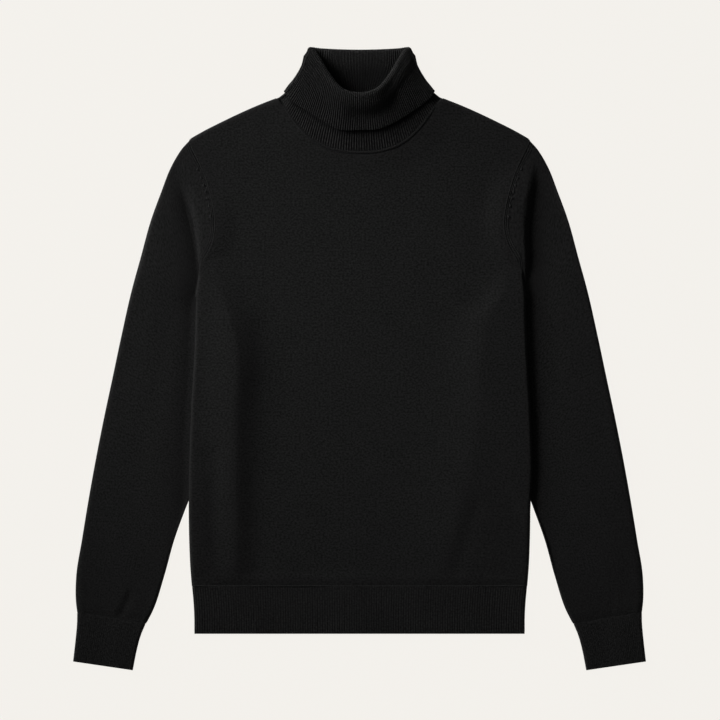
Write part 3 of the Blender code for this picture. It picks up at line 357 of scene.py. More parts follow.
LEFT_SLEEVE_CREASES = (
    Fold(312, -302, 307, -330, 3.4, 0.35),
    Fold(326, -298, 322, -330, 3.6, 0.45),
    Fold(339, -300, 337, -328, 3.6, 0.4),
    Fold(232, 90, 246, -40, 11, 0.7),
    Fold(262, 120, 276, 0, 13, -0.5),
    Fold(300, -30, 318, -150, 13, 0.45),
    Fold(262, -150, 290, -250, 11, 0.4),
)


def smooth(values, low, high):
    """0 up to low, 1 from high, and a soft step between them."""
    share = np.clip((np.asarray(values, float) - low) / (high - low), 0.0, 1.0)
    return share * share * (3.0 - 2.0 * share)


def hump(values, rise, fall):
    """0, then 1 between two soft steps, and 0 again."""
    return smooth(values, *rise) * (1.0 - smooth(values, *fall))


def swell(shape, at):
    """A soft rise about its middle."""
    return shape.height * np.exp(-(((at - shape.middle) / shape.reach) ** 2))


def of_side(pair, sign):
    """The value of a pair for the wearer's left (sign 1) or right (-1)."""
    return pair[0] if sign > 0 else pair[1]


def through(rows, at):
    """The smooth curve through a table's rows, read at values of its first column."""
    table = np.array(rows, float)
    keys, values = table[:, 0], table[:, 1:]
    slopes = np.gradient(values, keys, axis=0)
    at = np.clip(np.atleast_1d(np.asarray(at, float)), keys[0], keys[-1])
    left = np.clip(np.searchsorted(keys, at, side="right") - 1, 0, len(keys) - 2)
    width = (keys[left + 1] - keys[left])[:, None]
    t = (at - keys[left])[:, None] / width
    start, end = values[left], values[left + 1]
    pull, push = slopes[left] * width, slopes[left + 1] * width
    found = start * (2 * t**3 - 3 * t**2 + 1) + end * (3 * t**2 - 2 * t**3)
    return found + pull * (t**3 - 2 * t**2 + t) + push * (t**3 - t**2)


def chord_keys(points):
    """Running length along a line of points, to read the line by."""
    steps = np.linalg.norm(np.diff(points, axis=0), axis=1)
    return np.concatenate([[0.0], np.cumsum(np.maximum(steps, LEAST_STEP))])


def read_line(at, keys, points):
    """Points of a line at running lengths, straight between its own points."""
    return np.column_stack([np.interp(at, keys, values) for values in points.T])


def along(points, shares):
    """Points at shares of the length of the smooth line through the given points."""
    table = np.array(points, float)
    keys = chord_keys(table)
    dense = through(np.column_stack([keys, table]), np.linspace(0.0, keys[-1], 40 * len(table)))
    length = chord_keys(dense)
    return read_line(np.asarray(shares, float) * length[-1], length, dense)


def side_x(rows, y):
    return through(rows, y)[:, 0]


def settled_left(points):
    """Points of a piece with the shift that the body has on the wearer's left."""
    moved = points.copy()
    across, along_ = hump(points[..., 0], *LEFT_OUT_ACROSS), hump(points[..., 1], *LEFT_OUT_ALONG)
    moved[..., 0] += LEFT_OUT * across * along_
    return moved


def line_distance(x, y, x0, y0, x1, y1):
    """Distance from each point to a line between two points."""
    span = np.array([x1 - x0, y1 - y0])
    share = np.clip(((x - x0) * span[0] + (y - y0) * span[1]) / (span @ span), 0.0, 1.0)
    return np.hypot(x - x0 - share * span[0], y - y0 - share * span[1])


def folds(table, x, y):
    """The soft troughs and ridges of a table, to be taken off a height."""
    total = np.zeros_like(x)
    for fold in table:
        away = line_distance(x, y, fold.x0, fold.y0, fold.x1, fold.y1)
        total += fold.depth * np.exp(-((away / fold.width) ** 2))
    return total


def undulation(x, y):
    """Slow unevenness of cloth that was laid out by hand, from waves that share no period."""
    waves = (
        np.sin(x / 31.0 + y / 67.0 + 0.4) * np.sin(y / 43.0 - x / 90.0 + 1.1)
        + 0.7 * np.sin(x / 17.0 - y / 39.0 + 2.3) * np.sin(y / 26.0 + 0.7)
        + 0.4 * np.sin(x / 11.0 + y / 19.0 + 4.0)
    )
    return UNDULATION * waves / 2.1


TUCK_LINE = along(TUCK, np.linspace(0.0, 1.0, 120))
NECK_LINE = along(FRONT_NECKLINE, np.linspace(0.0, 1.0, 60))


def soft_maximum(first, second):
    """The larger of two heights, with a round hollow where they cross."""
    return (first + second + np.hypot(first - second, MAXIMUM_ROUND)) / 2.0


def nearest(line, x, y):
    """Distance from each point to a line of close points."""
    return np.min(np.hypot(x[:, None] - line[:, 0], y[:, None] - line[:, 1]), axis=1)


def outside_tuck(x, y):
    """Distance from each point to the sleeve that is tucked under the body, 0 over it."""
    x = np.abs(x)
    falling = TUCK_LINE[::-1]
    inner = np.interp(y, falling[:, 1], falling[:, 0])
    over = (y < TUCK_LINE[0, 1]) & (y > TUCK_LINE[-1, 1]) & (x > inner)
    return np.where(over, 0.0, nearest(TUCK_LINE, x, y))


def underside(x, y):
    """Height of the body's underside over the floor."""
    return TUCKED_LIFT * (1.0 - smooth(outside_tuck(x, y), PLATEAU, PLATEAU + BACK_FALL))


def ridge_rise(x, y):
    """How far the cloth rises towards the armhole's seam, and leans down from there to the fold beside it."""
    total = np.zeros_like(x)
    for sign, ridge in ((1.0, LEFT_RIDGE), (-1.0, RIDGE)):
        from_seam = sign * x - side_x(ARMHOLE, y)
        strip = np.maximum(side_x(ridge, y) - side_x(ARMHOLE, y), 1.0)
        inside = 1.0 - smooth(-from_seam, 0.0, RIDGE_REACH)
        outside = 1.0 - of_side(RIDGE_LEANS, sign) * np.clip(from_seam / strip, 0.0, 1.0)
        rise = of_side(RIDGE_RISE, sign) * hump(y, RIDGE_STARTS, of_side(RIDGE_FADES, sign))
        total = np.where(sign * x > 0.0, rise * inside * outside, total)
    return total


def drape(x, y):
    """How far the front is lifted by the sleeves under it."""
    total = np.zeros_like(x)
    for table, fuller in ((RIGHT_DRAPE, RIGHT_FULLER), (LEFT_DRAPE, 1.0)):
        crest, height, inward, outward, side_share = through(table, y).T
        height = height * fuller
        away = np.abs(x - crest)
        to_middle = height * (1.0 - smooth(np.clip(away / inward, 0.0, 1.0) ** INWARD_SKEW, 0.0, 1.0))
        to_side = height * (1.0 - (1.0 - side_share) * smooth(away, 0.0, outward))
        here = np.where(np.abs(x) < np.abs(crest), to_middle, to_side)
        total = np.where(np.sign(x) == np.sign(crest), here, total)
    return total


def topside(x, y):
    """Height of the body's upper side over the floor."""
    near_neck = nearest(NECK_LINE, np.abs(x), y)
    from_hem, from_seam = y - HEM_TOP, side_x(ARMHOLE, y) - np.abs(x)
    uneven = (folds(FRONT_CREASES, x, y) + undulation(x, y)) * smooth(near_neck, 0.0, NECK_STEADIES)
    raised = (np.maximum(drape(x, y), ridge_rise(x, y)) - uneven) * smooth(from_hem, 0.0, HEM_SETTLES)
    raised = soft_maximum(raised, underside(x, y) - LAYER_SLACK)
    raised += NECK_RISE * (1.0 - smooth(near_neck, 0.0, NECK_RISE_REACH))
    blouse = (swell(BLOUSE, from_hem) + swell(JOIN_DIP, from_hem)) * (1.0 - smooth(np.abs(x), *BLOUSE_ENDS))
    return BODY_LOFT + raised + blouse - swell(SEAM_DIP, from_seam) * hump(y, *SEAM_DIP_SPAN)


def rolled(angle, share):
    """The angle of a rolled edge of which only a share rolls: 90 is flat."""
    return np.radians(90.0 - share * (90.0 - angle))


def unit(vectors):
    """Each vector at length one."""
    return vectors / np.linalg.norm(vectors, axis=-1, keepdims=True)


def body_columns(neckline, sampling):
    """The columns of half a panel: their tops, how much the edge rolls there, and the side's angle."""
    shares = np.linspace(0.0, 1.0, sampling.neck_steps + 1)
    neck = along(neckline, shares)
    length = chord_keys(along(neckline, np.linspace(0.0, 1.0, 60)))[-1]
    neck_rolls = smooth(shares * length, length - NECK_ROLL, length)
    radius = BODY_LOFT / 2.0
    roll = np.linspace(90.0, 0.0, sampling.roll)
    xs = np.linspace(NECK_POINT[0], SHOULDER_TIP[0] - radius, sampling.shoulder_steps + 1)[1:]
    xs = np.concatenate([xs, SHOULDER_TIP[0] - radius * (1.0 - np.cos(np.radians(roll[1:])))])
    tops = np.vstack([neck, np.column_stack([xs, through(SHOULDER, xs)[:, 0]])])
    rolls = np.concatenate([neck_rolls, np.ones(len(xs))])
    angles = np.full(len(tops), 90.0)
    angles[1 - len(roll):] = roll[1:]
    return tops, rolls, angles


def armhole_shares(sampling):
    """Heights of the rows above the underarm, as shares, the first of them at the underarm itself."""
    if sampling is COARSE_SAMPLING:
        return np.array(COARSE_ARMHOLE)
    last = 1.0 - BODY_LOFT / 2.0 / (SHOULDER_TIP[1] - UNDERARM_Y)
    return np.linspace(0.0, last, sampling.armhole_rows + 2)[:-1]


def panel_rows(neckline, sampling):
    """The rows of half a panel, from the hem up: x, y, how much the side rolls and the top's angle."""
    tops, top_rolls, side_angles = body_columns(neckline, sampling)
    radius = BODY_LOFT / 2.0
    inset = radius * (1.0 - np.cos(np.radians(side_angles)))
    share_out = tops[:, 0] / (SHOULDER_TIP[0] - radius)
    rows = []
    for y in np.linspace(HEM_TOP + SEAM_GAP / 2.0, UNDERARM_Y, sampling.body_rows + 1):
        edge = side_x(BODY_SIDE, y)[0]
        x = np.where(side_angles < 90.0, edge - inset, share_out * (edge - radius))
        rows.append((x, np.full(len(x), y), 1.0, 90.0))
    underarm_x = rows[-1][0]
    height = tops[:, 1] - UNDERARM_Y
    climbs = [(UNDERARM_Y + share * height, 90.0) for share in armhole_shares(sampling)[1:]]
    for angle in np.linspace(90.0, 0.0, sampling.roll):
        climbs.append((tops[:, 1] - radius * (1.0 - np.cos(np.radians(angle))), angle))
    for y, angle in climbs:
        climbed = (y - UNDERARM_Y) / height
        x = underarm_x + (tops[:, 0] - underarm_x) * climbed
        bend = side_x(ARMHOLE, y[-1])[0] - x[-1]
        x = x + bend * (tops[:, 0] / SHOULDER_TIP[0]) ** ARMHOLE_BEND
        rows.append((x, y, 1.0 - smooth(climbed[-1], *UNDERARM_ROLL_ENDS), angle))
    return rows, top_rolls, side_angles


def panel(face, neckline, sampling):
    """Outer and inner points of a body panel: rows from the hem up, columns from left to right."""
    rows, top_rolls, side_angles = panel_rows(neckline, sampling)
    lean = unit(np.array([SHOULDER[0].y - SHOULDER[-1].y, SHOULDER[-1].x - SHOULDER[0].x]))
    halves = []
    for sign in (-1.0, 1.0):
        outer, inner = [], []
        for x, y, side_share, top_angle in rows:
            low, high = underside(x, y), topside(sign * x, y)
            side, top = rolled(side_angles, side_share), rolled(top_angle, top_rolls)
            up = np.sin(side) * np.sin(top)
            level = JERSEY * np.sqrt(np.maximum(0.0, 1.0 - up**2))
            to_side = np.cos(side) >= np.cos(top)
            out_x, out_y = np.where(to_side, 1.0, lean[0]), np.where(to_side, 0.0, lean[1])
            z = (low + high) / 2.0 + face * np.maximum((high - low) / 2.0 * up, SEAM_GAP / 2.0)
            outer.append(np.column_stack([sign * x, y, z]))
            x, y = x - level * out_x, y - level * out_y
            inner.append(np.column_stack([sign * x, y, z - face * JERSEY * up]))
        halves.append((np.array(outer), np.array(inner)))
    return tuple(np.concatenate([right[:, :0:-1], left], axis=1) for right, left in zip(*halves))


def sleeve_top(x, y):
    """Height of the plain sleeve's upper side: low under the body and its ridge, and full beyond."""
    edge = np.where(y < UNDERARM_Y, side_x(BODY_SIDE, y), side_x(RIDGE, y))
    return TUCKED_LOFT + (SLEEVE_LOFT - TUCKED_LOFT) * smooth(x - edge, *RAMP)


def ring_plan(ring, stations, radius_in, radius_out, roll):
    """The points of one ring seen from above, from its inner fold to its outer fold."""
    start, corner, end = (np.array(ring[first:first + 2]) for first in (0, 2, 4))
    to_corner, to_end = unit(corner - start), unit(end - corner)
    depths = 1.0 - np.cos(np.radians(roll))
    points = [start + to_corner * depth for depth in radius_in * depths[::-1]]
    points += [points[-1] + (corner - points[-1]) * share for share in (0.5, 1.0)]
    flat_end = end - to_end * radius_out
    steps = stations - ARMPIT_STATIONS - 1 - len(roll)
    for share in np.arange(1, steps + 1) / (steps + 1):
        bulge = ring.bulge * np.sin(np.pi * share)
        points.append(corner + (flat_end - corner) * share - np.array([bulge, 0.0]))
    points += [end - to_end * depth for depth in radius_out * depths]
    return np.array(points), to_corner, to_end


def coarse_rings(seam_front, seam_back, sign):
    """The solids' rings of a sleeve: plan, upper and lower heights, and the ways in from their folds."""
    stations = len(seam_front)
    roll = np.linspace(90.0, 0.0, COARSE_SAMPLING.roll)
    angles = np.full(stations, 90.0)
    angles[:len(roll)], angles[-len(roll):] = roll[::-1], roll
    level, up = np.cos(np.radians(angles)), np.sin(np.radians(angles))
    tangent = np.gradient(seam_front[:, :2], axis=0)
    outward = np.column_stack([tangent[:, 1], -tangent[:, 0]])
    plan = seam_front[:, :2] - TUCK_IN * unit(outward)
    up_y = np.array([0.0, 1.0])
    rings = [(plan, seam_front[:, 2], seam_back[:, 2], up_y, up_y)]
    for number, ring in enumerate(SLEEVE_RINGS):
        plan, to_corner, to_end = ring_plan(ring, stations, TUCKED_LOFT / 2.0, SLEEVE_LOFT / 2.0, roll)
        high, low = sleeve_top(plan[:, 0], plan[:, 1]), np.zeros(stations)
        if number == 0:
            fade = smooth(plan[:, 1], *of_side(RIDGE_FADES, sign))
            high = RIDGE_TOP + (SLEEVE_FULL - RIDGE_TOP) * fade
            high[:len(UNDERARM_HEIGHTS)] = UNDERARM_HEIGHTS
            low = seam_back[:, 2] / 2.0
            low[:len(UNDERARM_LIFTS)] = TUCKED_LIFT * np.array(UNDERARM_LIFTS)
        middle, half = (high + low) / 2.0, (high - low) / 2.0
        rings.append((plan, middle + half * up, middle - half * up, to_corner, to_end))
    return rings, level, up


def coarse_sleeve(seam_front, seam_back, sign):
    """The same rings as outer and inner points, in the left sleeve's place, from armhole to cuff."""
    rings, level, up = coarse_rings(seam_front, seam_back, sign)
    stations = len(up)
    first_half = (np.arange(stations) < stations // 2)[:, None]
    outer, inner = [], []
    for plan, top, bottom, to_corner, to_end in rings:
        shift = JERSEY * level[:, None] * np.where(first_half, to_corner, -to_end)
        middle = (top + bottom) / 2.0
        top, bottom = np.where(up > 0.01, top, middle), np.where(up > 0.01, bottom, middle)
        upper, lower = np.column_stack([plan, top]), np.column_stack([plan, bottom])
        upper_in = np.column_stack([plan + shift, top - JERSEY * up])
        lower_in = np.column_stack([plan + shift, bottom + JERSEY * up])
        outer.append(np.vstack([upper, lower[-2:0:-1]]))
        inner.append(np.vstack([upper_in, lower_in[-2:0:-1]]))
    return np.array(outer), np.array(inner)


def refined_loop(points, per_step):
    """A closed ring of points with more points on its smooth curve."""
    count, wrap = len(points), 3
    wrapped = np.vstack([points[-wrap:], points, points[:wrap + 1]])
    keys = chord_keys(wrapped)
    index = np.arange(count * per_step) / per_step + wrap
    return through(np.column_stack([keys, wrapped]), np.interp(index, np.arange(len(wrapped)), keys))


def refined_line(points, per_step):
    """An open row of points with more points on its smooth curve."""
    keys = chord_keys(points)
    index = np.arange((len(points) - 1) * per_step + 1) / per_step
    return through(np.column_stack([keys, points]), np.interp(index, np.arange(len(points)), keys))


def refined_tube(rings, around, lengthwise):
    """A tube of rings with more points round it and more rings along it, no lower than the floor."""
    rows = np.array([refined_loop(ring, around) for ring in rings])
    columns = [refined_line(rows[:, column], lengthwise) for column in range(rows.shape[1])]
    tube = np.stack(columns, axis=1)
    tube[:, :, 2] = np.maximum(tube[:, :, 2], 0.0)
    return tube


def sleeve_height(x, y, sign):
    """Height of a sleeve's upper side: level with the body up to the fold, low beside it, full beyond."""
    above = smooth(y, UNDERARM_Y - 10.0, UNDERARM_Y + 14.0)
    fold = side_x(of_side((LEFT_RIDGE, RIDGE), sign), y)
    from_fold = x - side_x(BODY_SIDE, y) * (1.0 - above) - fold * above
    within = TUCKED_LOFT * (1.0 - above) + (BODY_LOFT + ridge_rise(sign * x, y)) * above
    full = SLEEVE_FULL + of_side(SLEEVE_FULLS, sign) * hump(y, *SLEEVE_FULL_SPAN)
    low = SLEEVE_FULL - CREASE_DEPTH * (1.0 - smooth(y, *of_side(RIDGE_FADES, sign)) * above)
    width = of_side(CREASE_WIDTH, sign) + of_side(CREASE_WIDENS, sign) * smooth(y, *CREASE_SOFTENS)
    out = np.clip((from_fold - width) / (of_side(SHADE_REACH, sign) - width), 0.0, 1.0)
    beyond = low + (full - low) * (1.0 - (1.0 - out) ** of_side(SHADE_EASE, sign))
    return within + (beyond - within) * smooth(from_fold / width, 0.0, 1.0)


def sleeve(seam_front, seam_back, creases, sign):
    """Fine outer and inner rings of a sleeve, with its own creases, on its own side."""
    per_ring = SLEEVE_FINE + 2
    coarse = coarse_sleeve(seam_front, seam_back, sign)
    outer, inner = (refined_tube(rings, SLEEVE_FINE, per_ring) for rings in coarse)
    last_station, last = len(seam_front) - 1.0, float(len(SLEEVE_RINGS))
    around = np.arange(outer.shape[1]) / SLEEVE_FINE
    upper = hump(around, (0.0, 3.0), (last_station - 3.0, last_station))
    on_top = hump(around, (1.0, 2.5), (last_station - 2.5, last_station - 1.0))
    rings = (np.arange(outer.shape[0]) / per_ring)[:, None]
    x, y = outer[:, :, 0].ravel(), outer[:, :, 1].ravel()
    wanted = sleeve_height(x, y, sign).reshape(outer.shape[:2])
    uneven = (folds(creases, x, y) + undulation(sign * x + 140.0, y + 60.0)).reshape(outer.shape[:2])
    loose = hump(rings, (1.0, 3.0), (last - 0.5, last - 0.1))
    change = (wanted - outer[:, :, 2]) * on_top * (1.0 - smooth(rings, last - 3.0, last - 1.0))
    change += (swell(PUFF, rings - last) + swell(CUFF_DIP, rings - last) - uneven * loose) * upper
    change -= SEAM_SINKS * (1.0 - smooth(rings, 0.0, 0.5)) * upper
    below = np.roll(outer[:, ::-1, 2], 1, axis=1)
    change += np.maximum(0.0, below + 2.0 * JERSEY + SEAM_GAP - outer[:, :, 2] - change) * on_top
    for tube in (outer, inner):
        tube[:, :, 2] += change
        tube[:, :, 0] *= sign
    return outer, inner


def half_loop(shares, width, half):
    """The upper half of a flattened tube: the way across, the way up and the slope, at shares of it."""
    corner = np.pi * half / 2.0
    length = 2.0 * corner + width - 2.0 * half
    run = np.asarray(shares, float) * length
    start, end = run < corner, run > length - corner
    angle = np.where(start, run / half, np.where(end, (length - run) / half, np.pi / 2.0))
    across = np.where(start, half * (1.0 - np.cos(angle)), half + run - corner)
    across = np.where(end, width - half * (1.0 - np.cos(angle)), across)
    out = np.where(start, -np.cos(angle), np.where(end, np.cos(angle), 0.0))
    return across, half * np.sin(angle), out, np.sin(angle)


def wale(half_ribs, height):
    """Height of the ribs at places counted in half ribs: round wales between narrow valleys."""
    return height * np.abs(np.sin(np.pi * np.asarray(half_ribs, float) / 2.0)) ** 0.7


def rib_wander(half_ribs, y, strength):
    """Small unevenness of ribs that were steamed and laid by hand, in half ribs."""
    slow = np.sin(half_ribs / 13.0 + y / 21.0) + 0.6 * np.sin(half_ribs / 5.3 - y / 13.0 + 1.7)
    return strength * slow


def hem_row(y, shares, lift, half):
    """Points across the front hem rib at one height, moved out or in by lift."""
    edge = side_x(BODY_SIDE, y)[0]
    across, up, out, rise = half_loop(shares, 2.0 * edge, half)
    z = half + np.maximum(up, SEAM_GAP / 2.0) + lift * rise
    return np.column_stack([across - edge + lift * out, np.full(len(across), y), z])


def hem_waves(x, y):
    """The hem's slow rise and fall, which flattens out towards its sides."""
    wave = 0.5 * np.sin(x / 47.0 + 0.8) + 0.35 * np.sin(x / 23.0 + 2.0) + 0.2 * np.sin(x / 12.0 + y / 30.0)
    return wave * (1.0 - smooth(np.abs(x), 185.0, 208.0))


def hem(face):
    """Outer and inner points of a hem rib: the front's (face 1), or the back's with its wales down."""
    shares = np.linspace(0.0, 1.0, RIB_SAMPLES * HEM_RIBS + 1)
    half_ribs = shares * 2 * HEM_RIBS
    ys = np.append(HEM_TOP + TUCK_IN, HEM_TOP + (HEM_BOTTOM - HEM_RELAXES - HEM_TOP) * HEM_ROW_SHARES)
    half = BODY_LOFT / 2.0
    walls = []
    for y in ys:
        joined = (1.0 - BOUND_SHARE) * smooth(y, HEM_TOP - RIB_ENDS[1], HEM_TOP)
        tight = smooth(y, HEM_BOTTOM, HEM_BOTTOM + RIB_ENDS[0]) * (1.0 - joined)
        raised = wale(half_ribs + rib_wander(half_ribs, y, HEM_WANDER), HEM_RIB_HEIGHT)
        raised = raised * (BOUND_SHARE + (1.0 - BOUND_SHARE) * tight) - (TUCK_DOWN if y > HEM_TOP else 0.0)
        if face < 0:
            raised = raised - HEM_RIB_HEIGHT
        rows = [hem_row(y, shares, lift, half) for lift in (raised, raised - RIB)]
        if face > 0:
            wave = hem_waves(rows[0][:, 0], y) * np.sin(np.pi * shares) ** 0.5
            rows = [row + np.outer(wave, (0.0, 0.0, 1.0)) for row in rows]
        else:
            rows = [row * FLIPPED + (0.0, 0.0, BODY_LOFT) for row in rows]
        walls.append(rows)
    return tuple(np.array(side) for side in zip(*walls))


def cuff_ring(edge, shares, lift, face):
    """Points along the upper (face 1) or lower (face -1) side of a cuff, from its inner to its outer edge."""
    start, end = np.array([edge.in_x, edge.in_y]), np.array([edge.out_x, edge.out_y])
    width = np.linalg.norm(end - start)
    half = CUFF_LOFT / 2.0
    across, up, out, rise = half_loop(shares, width, half)
    plan = start + (across + lift * out)[:, None] / width * (end - start)
    return np.column_stack([plan, half + face * (up + lift * rise)])


def cuff(sign):
    """Outer and inner rings of a ribbed cuff, its wales pressed flat where they lie on the floor."""
    top = np.linspace(0.0, 1.0, RIB_SAMPLES * CUFF_RIBS + 1)
    under = top[::-1][1:-1]
    table = np.column_stack([np.linspace(0.0, 1.0, len(CUFF_ROWS)), np.array(CUFF_ROWS)])
    down = unit(np.array(CUFF_ROWS[1][:2]) - np.array(CUFF_ROWS[0][:2]))
    half_ribs = 2 * CUFF_RIBS * top
    pressed = (wale(2 * CUFF_RIBS * under, CUFF_RIB_HEIGHT) - CUFF_RIB_HEIGHT) * np.sin(np.pi * under) ** 0.3
    walls = []
    for share in np.append(-TUCK_IN, HEM_ROW_SHARES):
        edge, sunk = Edge(*through(table, max(share, 0.0))[0]), 0.0
        if share < 0.0:
            edge, sunk = Edge(*(np.array(edge) + np.tile(down * share, 2))), TUCK_DOWN
        tight = (1.0 - 0.5 * (1.0 - smooth(share, 0.0, 0.07))) * (1.0 - 0.4 * smooth(share, 0.96, 1.0))
        wander = rib_wander(half_ribs, share * CUFF_LENGTH, CUFF_WANDER)
        raised = wale(half_ribs + wander, CUFF_RIB_HEIGHT) * tight - sunk
        wave = CUFF_WAVE * np.sin(top * 9.0 + 1.3 * sign + share) * np.sin(np.pi * top)
        wave = wave * smooth(share, 0.0, 0.3)
        rings = []
        for inwards in (0.0, RIB):
            upper = cuff_ring(edge, top, raised - inwards, 1.0) + np.outer(wave, (0.0, 0.0, 1.0))
            rings.append(np.vstack([upper, cuff_ring(edge, under, pressed - sunk - inwards, -1.0)]))
        walls.append(rings)
    return tuple(np.array(side) * (sign, 1.0, 1.0) for side in zip(*walls))


def full_turn(half_points, half_at, at):
    """Reads a mirrored loop, given by its half, at any half rib, smooth over both its middles."""
    turn = 2.0 * COLLAR_RIBS
    half = np.column_stack([half_at, half_points])
    mirrored = half * np.append((-1.0, -1.0), np.ones(half.shape[1] - 2))
    after = mirrored[-2::-1] + np.append(turn, np.zeros(half.shape[1] - 1))
    at = np.asarray(at, float) % turn
    return through(np.vstack([mirrored[:0:-1], half, after]), np.where(at > 0.75 * turn, at - turn, at))


class Collar:
    """The surface of the collar's stand, and the layers beside it, read at half ribs round the neck."""

    def __init__(self, front, front_in, back, back_in):
        fronts, backs = FRONT_SAMPLING.neck_steps, BACK_SAMPLING.neck_steps
        middle_front, middle_back = front.shape[1] // 2, back.shape[1] // 2
        front_columns = middle_front + np.arange(fronts + 1)
        back_columns = middle_back + backs - np.arange(1, backs + 1)
        self.base_at = np.concatenate([
            FRONT_HALF_RIBS * np.arange(fronts + 1) / fronts,
            FRONT_HALF_RIBS + BACK_HALF_RIBS * np.arange(1, backs + 1) / backs,
        ])
        self.outer = np.vstack([front[-1, front_columns], back[-1, back_columns]])
        self.inner = np.vstack([front_in[-1, front_columns], back_in[-1, back_columns]])
        run = np.gradient(self.outer[:, :2], axis=0)
        into_neck = np.column_stack([-run[:, 1], run[:, 0]]) * np.where(run[:, :1] < 0.0, -1.0, 1.0)
        into_neck[0] = into_neck[-1] = (0.0, 1.0)
        into_neck[fronts] = into_neck[fronts - 1] + into_neck[fronts + 1]
        into_neck = unit(into_neck)
        self.linking = self.outer.copy()
        self.outer += np.column_stack([-TUCK_IN / 2.0 * into_neck, np.full(len(into_neck), -TUCK_DOWN / 2.0)])
        self.outer[:, 2] = np.maximum(self.outer[:, 2], 0.0)
        self.inner[:, :2] -= TUCK_IN / 2.0 * into_neck
        self.base = (self.outer + self.inner) / 2.0
        table = np.array(COLLAR)
        self.at, self.middle, self.fold, self.edge = table[:, 0], table[:, 1:4], table[:, 4:7], table[:, 7:8]
        self.edge = self.edge + EDGE_LIFT * (1.0 - smooth(self.at, *EDGE_LIFT_FADES))[:, None]
        self.middle[:, 2] -= MIDDLE_SINKS * (1.0 - smooth(self.at, *MIDDLE_SINK_FADES))
        overhang = self.middle[:, 0] - self.fold[:, 0]
        self.middle[:, 0] -= BACK_NARROWS * overhang * smooth(self.at, *BACK_NARROWING)
        self.fine = np.arange(COLLAR_RIBS * RIB_SAMPLES) * 2.0 / RIB_SAMPLES

    def waves(self, at, first, second, shift, strength):
        """Unevenness that closes on itself round the neck: two waves with whole numbers of turns."""
        turn = np.pi * np.asarray(at, float) / COLLAR_RIBS
        return strength * (np.sin(first * turn + shift) + 0.7 * np.sin(second * turn + 2.0 - shift))

    def near(self, at):
        """Half ribs from the front's middle, the shorter way round."""
        at = np.asarray(at, float) % (2 * COLLAR_RIBS)
        return np.minimum(at, 2 * COLLAR_RIBS - at)

    def edge_share(self, at):
        """Where the turnover's free edge hangs, as a share of the stand's height, a little uneven."""
        hung = full_turn(np.column_stack([self.at, self.edge]), self.at, at)[:, 1]
        return hung + self.waves(at, *EDGE_WAVES)

    def stand(self, at, share):
        """The middle of the stand's cloth at a share of its height."""
        share = np.broadcast_to(np.asarray(share, float), np.shape(at))[:, None]
        base = full_turn(self.base, self.base_at, at)
        middle, fold = full_turn(self.middle, self.at, at), full_turn(self.fold, self.at, at)
        start = base.copy()
        start[:, 2] = np.maximum(start[:, 2], STAND_LOWEST)
        point = 2.0 * (share - 0.5) * (share - 1.0) * start + 4.0 * share * (1.0 - share) * middle
        point += 2.0 * share * (share - 0.5) * fold
        point[:, 2] -= ((start - base)[:, 2:] * (1.0 - smooth(share, 0.0, STAND_CLEARS)))[:, 0]
        turn = np.asarray(at, float) % (2 * COLLAR_RIBS)
        for dent in COLLAR_DENTS:
            round_ = (turn - dent.at + COLLAR_RIBS) % (2 * COLLAR_RIBS) - COLLAR_RIBS
            away = np.hypot(round_ / dent.half_ribs, (share[:, 0] - dent.share) / dent.reach)
            point[:, 2] -= dent.depth * np.exp(-(away**2))
        return point

    def directions(self, at, share):
        """Unit vectors out of the cloth and up the stand."""
        share = np.maximum(np.broadcast_to(np.asarray(share, float), np.shape(at)), STAND_CLEARS)
        round_ = self.stand(at + 1.0, share) - self.stand(at - 1.0, share)
        up = self.stand(at, share + 0.02) - self.stand(at, share - 0.02)
        return unit(np.cross(round_, up)), unit(up)

    def wales(self, at, share, off_floor):
        """Height of the ribs, less where the cloth lies on the floor."""
        wander = self.waves(at, 7, 18, 4.0 * np.asarray(share), COLLAR_WANDER)
        height = wale(at + wander, COLLAR_RIB_HEIGHT)
        if off_floor:
            on_floor = smooth(self.near(at), FRONT_HALF_RIBS + 6, FRONT_HALF_RIBS + 14)
            height = height * (1.0 - BASE_RELAXES * on_floor)
        return height

    def layer(self, at, share, offset):
        """Points moved out of the stand's middle by an offset, no lower than the floor."""
        out, _ = self.directions(at, share)
        point = self.stand(at, share) + out * np.reshape(offset, (-1, 1))
        point[:, 2] = np.maximum(point[:, 2], 0.0)
        return point

    def stand_off(self, at, share):
        """Distance between the middles of the stand and the turnover."""
        flare = EDGE_FLARE * (1.0 - smooth(self.near(at), FRONT_HALF_RIBS - 30, FRONT_HALF_RIBS))
        bulge = self.waves(at, *BULGE_WAVES)
        loose = (1.0 - share) * (1.0 - smooth(self.near(at), FRONT_HALF_RIBS - 20, FRONT_HALF_RIBS))
        rim = RIM_FULLNESS * np.exp(-(((share - RIM_SHARE) / RIM_REACH) ** 2)) * smooth(1.0 - share, 0.0, 0.1)
        return RIB + FOLD_GAP + flare * (1.0 - share) + np.maximum(bulge, -0.4) * loose + rim * (loose > 0.0)

